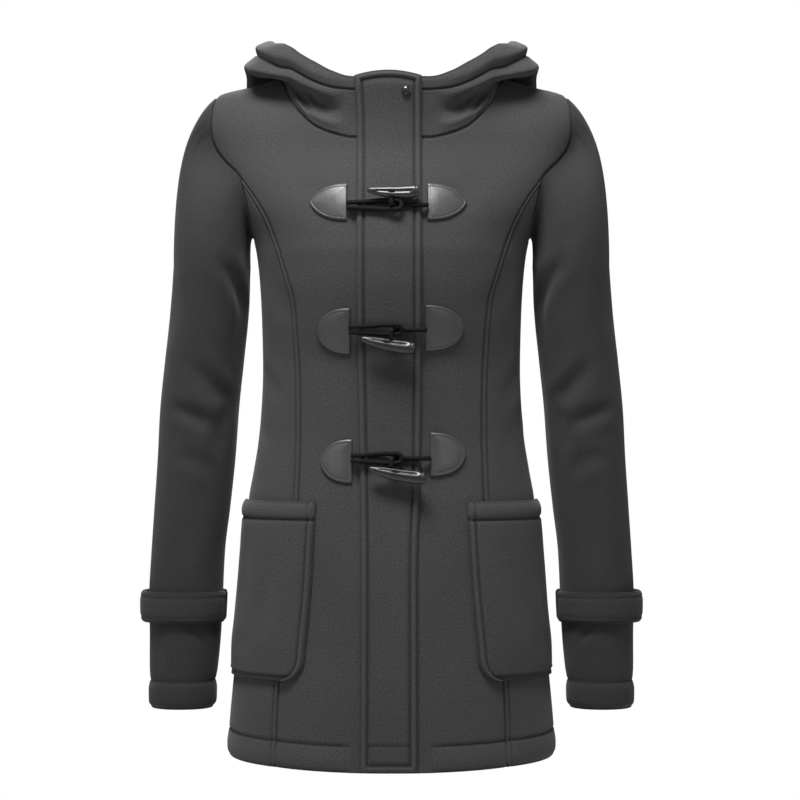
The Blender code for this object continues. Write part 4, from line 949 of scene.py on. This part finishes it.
def strap(name, side):
    # the band round the cuff, sewn down beside the sleeve's inner seam and standing off most at the outside
    ends, near = strapCut["ends"], np.array([0, 0.8, 1.8, 3.2, 5, 7])
    angle = np.concatenate([near - ends, np.linspace(-ends + 10, ends - 10, 84), ends - near[::-1]])
    tall = strapCut["top"] - strapCut["bottom"]
    z = (strapCut["bottom"] + graded(tall, 2.4, (0, 0.6, 1.4, 2.6, 4)))[:, None]
    grid = sleeveRing(angle % 360, z)
    normal = gridNormals(grid)
    normal[..., 2] = 0
    normal = unit(normal)
    normal = normal * np.sign(np.sum(normal * (grid - grid.mean(axis=(0, 1)))))
    lift = strapCut["gap"] + strapCut["standOff"] * hump(angle / strapCut["standWide"])
    across, up = arcs(grid, 1), arcs(grid, 0)
    edge = np.minimum(np.minimum(across, across[:, -1:] - across), np.minimum(up, up[-1:] - up))
    relief = -1.5 * hump(edge / 3.0) + pressedLine(edge, strapCut["stitch"], 0.7) + 0.5 * rise((edge - 4) / 6)
    outer = mirrored(grid + normal * (lift + strapCut["thick"] + relief)[..., None], side)
    inner = mirrored(grid + normal * lift[:, None], side)
    # painted shade: the strap takes the darker copy of the fleece
    sheet(name, outer, inner, relief, (0.8,) * 4,
          "shadedSleeveFleece")
    normal = mirrored(normal, side)
    for far in (up[:, 0], up[-1, 0] - up[:, 0]):
        row = np.argmin(np.abs(far - strapCut["stitch"]))
        sew("sleeves", outer[row, 5:-5], normal[row, 5:-5])


for hand, side in hands:
    sleeve("sleeve_" + hand, side)
    strap("cuff_strap_" + hand, side)
print("sleeves ready")


# hood
def neckPoint(angles, out=0.0):
    # the neck seam on the body, at those angles from its front
    x, z = read(neckline, "x", angles), read(neckline, "height", angles)
    points = np.where((angles < 90)[:, None], bodyAt(x, z, -1, out), bodyAt(x, z, 1, out))
    points[np.isclose(angles, 90), 1] = sideBack
    return points


def neckAway(angles):
    # square to the neck seam, along the body's surface
    run = neckPoint(np.minimum(angles + 0.5, 180)) - neckPoint(np.maximum(angles - 0.5, 0))
    away = np.cross(neckPoint(angles, 1.0) - neckPoint(angles), run)
    away[:, 0] *= (angles > 0) & (angles < 180)
    return unit(away)


def hoodGrid(angles, shares):
    # a column for each angle: from the neck seam it rises through that angle's section and turns over to the
    # rim, and behind it keeps clear of the back
    out, up = (roundCurve(np.pad(smooth(hoodAngles, part, angles, flatEnds=True).T, ((1, 0), (0, 0))), shares)
               for part in (hoodOut, hoodUp))
    turn = np.radians(angles)
    start = neckPoint(angles) + neckAway(angles) * cloth["gap"]
    grid = start + np.stack([out * np.sin(turn), -out * np.cos(turn), up], axis=-1)
    rest = bodyAt(grid[..., 0], grid[..., 2], 1, 2.4 * rise(shares / 0.2)[:, None])
    grid[..., 1] = np.where(angles > 90, np.maximum(grid[..., 1], rest[..., 1]), grid[..., 1])
    return grid


# the hood's creases: from and to (twice the degrees round, hundredths of the way up), bow, width, depth
hoodCreases = [
    (150, 40, 214, 52, 4, 7, 1.6), (128, 26, 176, 33, -3, 6, 1.2), (236, 22, 330, 30, 5, 9, 1.8),
    (250, 48, 322, 60, -6, 9, 1.6), (300, 12, 352, 42, 6, 10, 1.6), (98, 18, 140, 33, 3, 6, 2.6),
    (96, 46, 130, 60, 2, 6, 1.0), (196, 62, 260, 70, 3, 6, 1.1), (330, 54, 352, 74, -3, 9, 1.3)]
hoodCasing = 7 / 9  # where its stitching runs, as a share of the way from seam to rim


def hood(name, side):
    # half of the hood, from the centre front round to the seam down its middle
    nearBack = np.array([6.4, 5, 3.8, 2.8, 1.9, 1.2, 0.6, 0])
    nearSeam = np.array([0, 0.3, 0.65, 1.1, 1.7, 2.4, 3.2])
    nearRim = [0.983, 0.989, 0.994, 0.997, 1.0]
    angles = np.concatenate([[0], np.linspace(1.5, 172, 96), 180 - nearBack])
    shares = np.concatenate([nearSeam / 100, np.linspace(0.042, 0.975, 92), nearRim])
    grid = hoodGrid(angles, shares)
    grid[:, 0, 0] = grid[:, -1, 0] = cloth["gap"] / 2
    normal = gridNormals(grid)
    fromSeam, fromBack = arcs(grid, 0), arcsBack(grid, 1)
    casing = np.array([np.interp(hoodCasing, shares, run) for run in fromSeam.T])
    folds = creased(2 * angles[None], 100 * shares[:, None], hoodCreases) * rise(fromBack / 20)
    relief = seamRoll(fromSeam) + seamRoll(fromBack) + pressedLine(fromSeam, casing, 1.3)
    relief = relief - 1.2 * hump(arcsBack(grid, 0) / 3.4)
    outer, inner = wallFaces(grid, normal, relief, folds, side)
    sheet(name, outer, inner, relief, (0, 0.9, 0, 0))
    sewWhere("hood", outer, mirrored(normal, side), fromSeam, casing, down=True)


for hand, side in hands:
    hood("hood_" + hand, side)
print("hood ready")


# what lies on the front
hoodFront = [roundCurve(np.pad(part[0], (1, 0)), np.linspace(0, 1, 60)) for part in (hoodUp, hoodOut)]


def overFront(x, z, out):
    # over the body below the neck seam, and over the hood's upright front above it
    x, z, out = np.broadcast_arrays(np.asarray(x, float), np.asarray(z, float), np.asarray(out, float))
    low = np.minimum(z, neckBottom)
    angle = bodyAngle(x, low, -1)
    right, left = (bodyFolds(angle, low, -1, side) for side in (-1, 1))
    points = bodyAt(x, low, -1, out + np.where(x < 0, right, left) * hemFade(low))
    points[..., 2] = z
    points[..., 1] -= np.interp(z - neckBottom, *hoodFront)
    return points


def facingFront(outer):
    # a grid's normals, turned towards the front
    normal = gridNormals(outer)
    return normal * -np.sign(normal[..., 1].sum())


def sewnEdge(edge, at, deep, wide):
    # the edge of a laid piece: rounded over, with a soft ridge outside the stitching that holds it down
    return 0.9 * hump((edge - 3.4) / 3.2) + pressedLine(edge, at, deep) - 1.3 * hump(edge / wide)


placketCut = {"bottom": -714.7, "top": -4.0, "arc": 5.0, "stitch": 7.0, "thick": 3.4, "gap": 0.8, "hem": 27.0}
placketCreases = [(-14, -60, -18, -240, 3, 9, 0.5), (8, -300, 12, -392, -2, 9, 0.6),
                  (-10, -430, -6, -640, 4, 10, 0.7), (14, -150, 10, -250, 2, 8, 0.5)]


def placket(name):
    # the band over the front opening, its top edge bowed, stitched down 7 mm from its edges
    cut = placketCut
    across = graded(64.0, 3.6, (0, 0.6, 1.3, 2.2, 3.3, 4.6, 5.8, 7.0, 8.2, 9.8)) / 64 * 2 - 1
    near = np.array([0, 0.6, 1.3, 2.2, 3.4, 4.8, 6.4, 8.2, 10.5])
    up = np.concatenate([near, np.linspace(13.5, 38, 14), np.linspace(42, 696, 164),
                         cut["top"] - cut["bottom"] - near[::-1]])
    guide = cut["bottom"] + up
    left, right = read(placketEdges, "left", guide), read(placketEdges, "right", guide)
    middle, half = ((left + right) / 2)[:, None], ((right - left) / 2)[:, None]
    x = middle + half * across
    z = guide[:, None] - rise((guide + 60) / 56)[:, None] * cut["arc"] * across**2
    toTop, hem = cut["top"] - cut["arc"] * across**2 - z, z - cut["bottom"]
    edge = np.minimum(half * (1 - np.abs(across)), np.minimum(toTop, hem))
    relief = sewnEdge(edge, cut["stitch"], 1.4, 2.6)
    relief = relief + pressedLine(hem, cut["hem"], 0.9) * rise((edge - 6) / 3)
    outer = overFront(x, z, cut["gap"] + cut["thick"] + relief + creased(x, z, placketCreases))
    inner = overFront(x, z, cut["gap"])
    sheet(name, outer, inner, relief, (0.7,) * 4)
    normal = facingFront(outer)
    for turned in (1, -1):
        far = (half * (1 + turned * across))[8:-8, ::turned]
        sewWhere("front", outer[8:-8, ::turned], normal[8:-8, ::turned], far, cut["stitch"])
    for row in (6, -7):
        sew("front", outer[row, 8:-8], normal[row, 8:-8])


pocketCut = {"top": -444.0, "bottom": -625.0, "band": 18.0, "stitch": 7.0, "corner": 22.0, "wide": 149.0,
             "gap": 1.0, "belly": 2.2}
pocketCreases = [(34, -470, 52, -600, 5, 15, 1.1), (96, -462, 84, -560, -5, 14, 1.0),
                 (60, -600, 110, -588, 4, 9, 0.8), (122, -480, 128, -590, 4, 10, 0.9)]


def pocket(name, side):
    # a patch with a deep hem at its mouth, round at its inner lower corner, running back to the side seam
    band, corner = pocketCut["band"], pocketCut["corner"]
    tall = pocketCut["top"] - pocketCut["bottom"]
    near = [0, 0.6, 1.3, 2.2, 3.4, 4.6, 5.8, 7.0, 8.2, 9.8]
    mouth = np.array([20.5, 19, 18, 17, 15, 12.5, 10, 7.5, 5, 3.4, 2.2, 1.3, 0.6, 0])
    up = np.concatenate([near, np.linspace(13, 158, 40), tall - mouth])[:, None]
    into = np.concatenate([near, np.linspace(13, pocketCut["wide"], 40)])
    z = pocketCut["bottom"] + up
    # the corner is a quarter circle, and a row's points are spaced along the body's surface
    cut = corner - np.sqrt(np.maximum(corner**2 - np.maximum(0, corner - up) ** 2, 0))
    fan = bodyAngle(read(pocketEdge, "x", z), z, -1)
    fan = fan + (90 - fan) * np.linspace(0, 1, 160)
    run = arcs(bodyTurned(fan, z, -1), 1)
    share = into / pocketCut["wide"] * (run[:, -1:] - 1 - cut) + cut
    angle = np.array([np.interp(*row) for row in zip(share, run, fan)])
    edge = np.minimum(np.minimum(share - cut, run[:, -1:] - share + 6), up + 0.35 * cut)
    hem = tall - up
    relief = sewnEdge(edge, pocketCut["stitch"], 1.1, 2.8) + 1.5 * hump((hem - band / 2) / (0.6 * band))
    relief = relief + pressedLine(hem, band, 1.3) - 1.2 * hump(hem / 3.0)
    belly = pocketCut["belly"] * rise((share - cut) / 40) * rise(up / 40) * rise((hem + 20) / 60)
    sway = (creased(share, z, pocketCreases) + 0.3) * rise((edge - 7) / 14)
    under = bodyFolds(angle, z, -1, side) * hemFade(z) + pocketCut["gap"] + belly
    outer = mirrored(bodyTurned(angle, z, -1, under + cloth["wall"] + relief + sway), side)
    inner = mirrored(bodyTurned(angle, z, -1, under), side)
    sheet(name, outer, inner, relief, (0.7, 0.8, 0.7, 0.2))
    normal = facingFront(outer)
    sewWhere("front", outer[8:-4], normal[8:-4], (share - cut)[8:-4], pocketCut["stitch"])
    for row in (7, -12):
        sew("front", outer[row, 8:], normal[row, 8:])


placket("placket")
for hand, side in hands:
    pocket("pocket_" + hand, side)
print("placket and pockets ready")


# fastenings
fastenings = {
    # each tab's height, where its straight edge lies and its width; half and point shape both tabs; cords is
    # the cords' height, tip and butt are the toggle's ends, and roll turns its groove up from the front
    "top": dict(right=(-139, -44.5, 37.5), left=(-139, 36.5, 39.4), half=18.4, point=0.66, cords=-143,
                tip=(-22, -128), butt=(26, -129), roll=4),
    "mid": dict(right=(-270, -41.5, 33.0), left=(-267, 34.5, 38.0), half=22.6, point=0.5, cords=-269,
                tip=(-27, -278), butt=(21, -288), roll=35),
    "low": dict(right=(-402, -39.5, 31.5), left=(-395, 39.5, 35.0), half=21.6, point=0.5, cords=-399,
                tip=(-20, -409), butt=(31, -419), roll=40),
}
tabCut = {"gap": 0.8, "thick": 2.0, "crown": 0.7, "crownWide": 11.0, "stitch": 2.6, "round": 0.75,
          "groove": 0.4}


def tab(name, height, edgeX, wide, half, point):
    # a leather tab: straight where the cord leaves it, round or pointed at the far end, crowned in the middle
    run = 1 - (1 - np.linspace(0, 1, 46)) ** 1.5
    across = np.sin(np.linspace(-1, 1, 37) * np.pi / 2)
    tall = np.maximum(half * (1 - run**2.4) ** point, 0.6)
    x, z = np.broadcast_arrays(edgeX + run[:, None] * wide, height + tall[:, None] * across)
    loop = edgeLoops(len(run), len(across), False)[0]
    off = np.hypot(x[..., None] - x[loop], z[..., None] - z[loop]).min(axis=2)
    relief = tabCut["crown"] * rise(off / tabCut["crownWide"]) - tabCut["round"] * hump(off / 1.3)
    relief = relief - tabCut["groove"] * hump((off - tabCut["stitch"]) / 1.1)
    top = tabCut["gap"] + tabCut["thick"]
    outer, inner = overFront(x, z, top + relief), overFront(x, z, tabCut["gap"])
    clothWall(name, outer, inner, np.zeros(x.shape), (0.3,) * 4, "leather")
    # stitched round, 2.6 mm inside its edge
    inset = np.maximum(tall - tabCut["stitch"], 0.05)
    keep = run < 1 - tabCut["stitch"] / abs(wide)
    xs = edgeX + run[keep] * wide
    xs, zs = np.concatenate([xs, xs[::-1]]), height + np.concatenate([inset[keep], -inset[keep][::-1]])
    sew("tabs", overFront(xs, zs, top - 0.3), overFront(xs, zs, 5.0) - overFront(xs, zs, 4.0))


cordLook = {"radius": 2.1, "full": 0.3, "strands": 4, "pitch": 9.0, "depth": 0.25, "sides": 28}
toggleLook = {"radius": 5.5, "taller": 1.2, "out": 15.8, "bow": 1.6, "groove": 1.5, "eye": 2.6, "eyeAt": 0.47,
              "ring": 0.55, "ringAt": 0.925}
overPlacket, underBight = 7.4, 6.8


def loopRoute(z, edgeX, placketX):
    # out along one strand, round the bight over the toggle's cord, and back
    over = underBight + 2 * cordLook["radius"] + 0.4
    one = [(edgeX + 0.9, z + 2.6, 4.0), (placketX - 2.2, z + 2.8, 7.4), (placketX + 3, z + 3.0, 8.0),
           (-18, z + 3.8, overPlacket), (-7, z + 4.7, overPlacket + 0.6), (5, z + 4.7, over),
           (8.4, z + 3.4, over)]
    return one + [(9.7, z, over)] + [(x, 2 * z - height, out) for x, height, out in reversed(one)]


def toggleCordRoute(z, edgeX, placketX, toggleZ):
    # under the loop's bight, up inside the loop and into the toggle
    way = np.sign(toggleZ - z)
    end = toggleZ - way * (0.9 * toggleLook["radius"] * toggleLook["taller"] + 0.4)
    return [(edgeX - 0.8, z, 4.9), (placketX + 1.8, z, 7.4), (placketX - 3, z, 8.0), (18, z, underBight),
            (8.5, z, underBight), (4.0, z, 8.0), (1.0, z, 11.5), (0, z + way * 1.4, 14.6),
            (0, end, toggleLook["out"])]


def cord(name, route, count):
    # a round braid: rings along the route, rippled where its strands cross
    route = np.array(route, float)
    run = arcs(route, 0)
    line = walked(smooth(run, route, np.linspace(0, run[-1], 600)), np.linspace(0, 1, count))
    path = overFront(*line.T)
    length = arcs(path, 0)
    ahead = unit(np.gradient(path, axis=0))
    sideways, way = np.zeros_like(path), np.cross(ahead[0], [0, 0, 1.0])
    for k in range(count):  # carried along the route without twisting
        way = unit(way - ahead[k] * (way @ ahead[k]))
        sideways[k] = way
    upward = np.cross(ahead, sideways)
    turn = np.linspace(0, 2 * np.pi, cordLook["sides"], endpoint=False)
    # the higher of two waves that wind opposite ways
    around, helix = cordLook["strands"] * turn, 4 * np.pi * length[:, None] / cordLook["pitch"]
    ripple = np.maximum(np.sin(around + helix), np.sin(around - helix))
    radius = cordLook["radius"] + cordLook["full"] + cordLook["depth"] * (ripple - 0.7)
    radius[[0, -1]] *= 0.6
    ring = np.cos(turn)[:, None] * sideways[:, None] + np.sin(turn)[:, None] * upward[:, None]
    piece = roundPiece(name, path[:, None] + ring * radius[..., None], "cord")
    print(f"  {name}: {length[-1]:.1f} mm long")


toggleProfile = table("along radius", (0, 0.25), (0.04, 0.42), (0.12, 0.56), (0.3, 0.78), (0.46, 0.9),
                      (0.54, 0.9), (0.7, 0.98), (0.88, 1.0), (0.97, 0.93), (1.0, 0.74))


def toggle(name, tip, butt, roll):
    # a horn tooth: rings along its bowed axis, flattened a little, less a groove along its face, an eye for
    # the cord and a ring near its butt
    look = toggleLook
    start, end = overFront(*tip, look["out"]), overFront(*butt, look["out"])
    axis = unit(end - start)
    up = unit(np.array([0, 0, 1.0]) - axis * axis[2])
    side = np.cross(axis, up)  # towards the viewer
    t = np.concatenate([[0, 0.006, 0.015, 0.03], np.linspace(0.05, 0.9, 76), np.linspace(0.905, 0.985, 16),
                        [0.99, 0.995, 1]])[:, None]
    turn = np.linspace(0, 2 * np.pi, 56, endpoint=False)
    off = (turn - np.radians(roll) + np.pi) % (2 * np.pi) - np.pi
    groove = look["groove"] * hump(off / 0.42) * rise((t - 0.1) / 0.15) * rise((0.9 - t) / 0.12)
    eye = look["eye"] * hump(np.hypot(off / 0.36, (t - look["eyeAt"]) / 0.085))
    ring = look["ring"] * hump((t - look["ringAt"]) / 0.017)
    radii = np.maximum(read(toggleProfile, "radius", t) * (look["radius"] - groove - eye - ring), 0.5)
    middle = start + (end - start) * t - up * look["bow"] * (1 - (2 * t - 1) ** 2)
    circle = np.cos(turn)[:, None] * side + look["taller"] * np.sin(turn)[:, None] * up
    roundPiece(name, middle[:, None] + circle * radii[..., None], "horn")


snapLook = {"place": (14.8, -24.6), "radius": 4.8, "proud": 0.6}
# shares of the radius, and heights
snapProfile = [(0.9, 0), (0.99, 0.35), (1.0, 0.8), (0.97, 1.2), (0.9, 1.45), (0.82, 1.42), (0.76, 1.5),
               (0.66, 1.95), (0.5, 2.35), (0.3, 2.6), (0.12, 2.7), (0.02, 2.72)]


def snap(name):
    # a domed cap turned on a lathe, with a rolled edge and a shallow ring
    base = placketCut["gap"] + placketCut["thick"] + snapLook["proud"]
    middle = overFront(*snapLook["place"], base)
    out = unit(overFront(*snapLook["place"], base + 1) - middle)
    side = unit(np.cross(out, [0, 0, 1.0]))
    turn = np.linspace(0, 2 * np.pi, 48, endpoint=False)[:, None]
    circle = np.cos(turn) * side + np.sin(turn) * np.cross(side, out)
    profile = np.array(snapProfile)[:, :, None, None]
    roundPiece(name, middle + out * profile[:, 1] + circle * profile[:, 0] * snapLook["radius"], "snap")


for name, one in fastenings.items():
    cords, tip, butt = one["cords"], one["tip"], one["butt"]
    for hand, side in reversed(hands):
        height, edgeX, wide = one[hand]
        tab(f"tab_{hand}_{name}", height, edgeX, side * wide, one["half"], one["point"])
    leftX, rightX = (float(read(placketEdges, edge, cords)) for edge in ("left", "right"))
    cord(f"loop_cord_{name}", loopRoute(cords, one["right"][1], leftX), 190)
    toggleZ = tip[1] + (butt[1] - tip[1]) * (0 - tip[0]) / (butt[0] - tip[0]) - toggleLook["bow"]
    cord(f"toggle_cord_{name}", toggleCordRoute(cords, one["left"][1], rightX, toggleZ), 110)
    toggle(f"toggle_{name}", tip, butt, one["roll"])
snap("snap")
print("fastenings ready")

for group, rows in threads.items():
    makeStitches("stitching_" + group, rows, "blackThread" if group == "tabs" else "thread")
print("stitching ready")
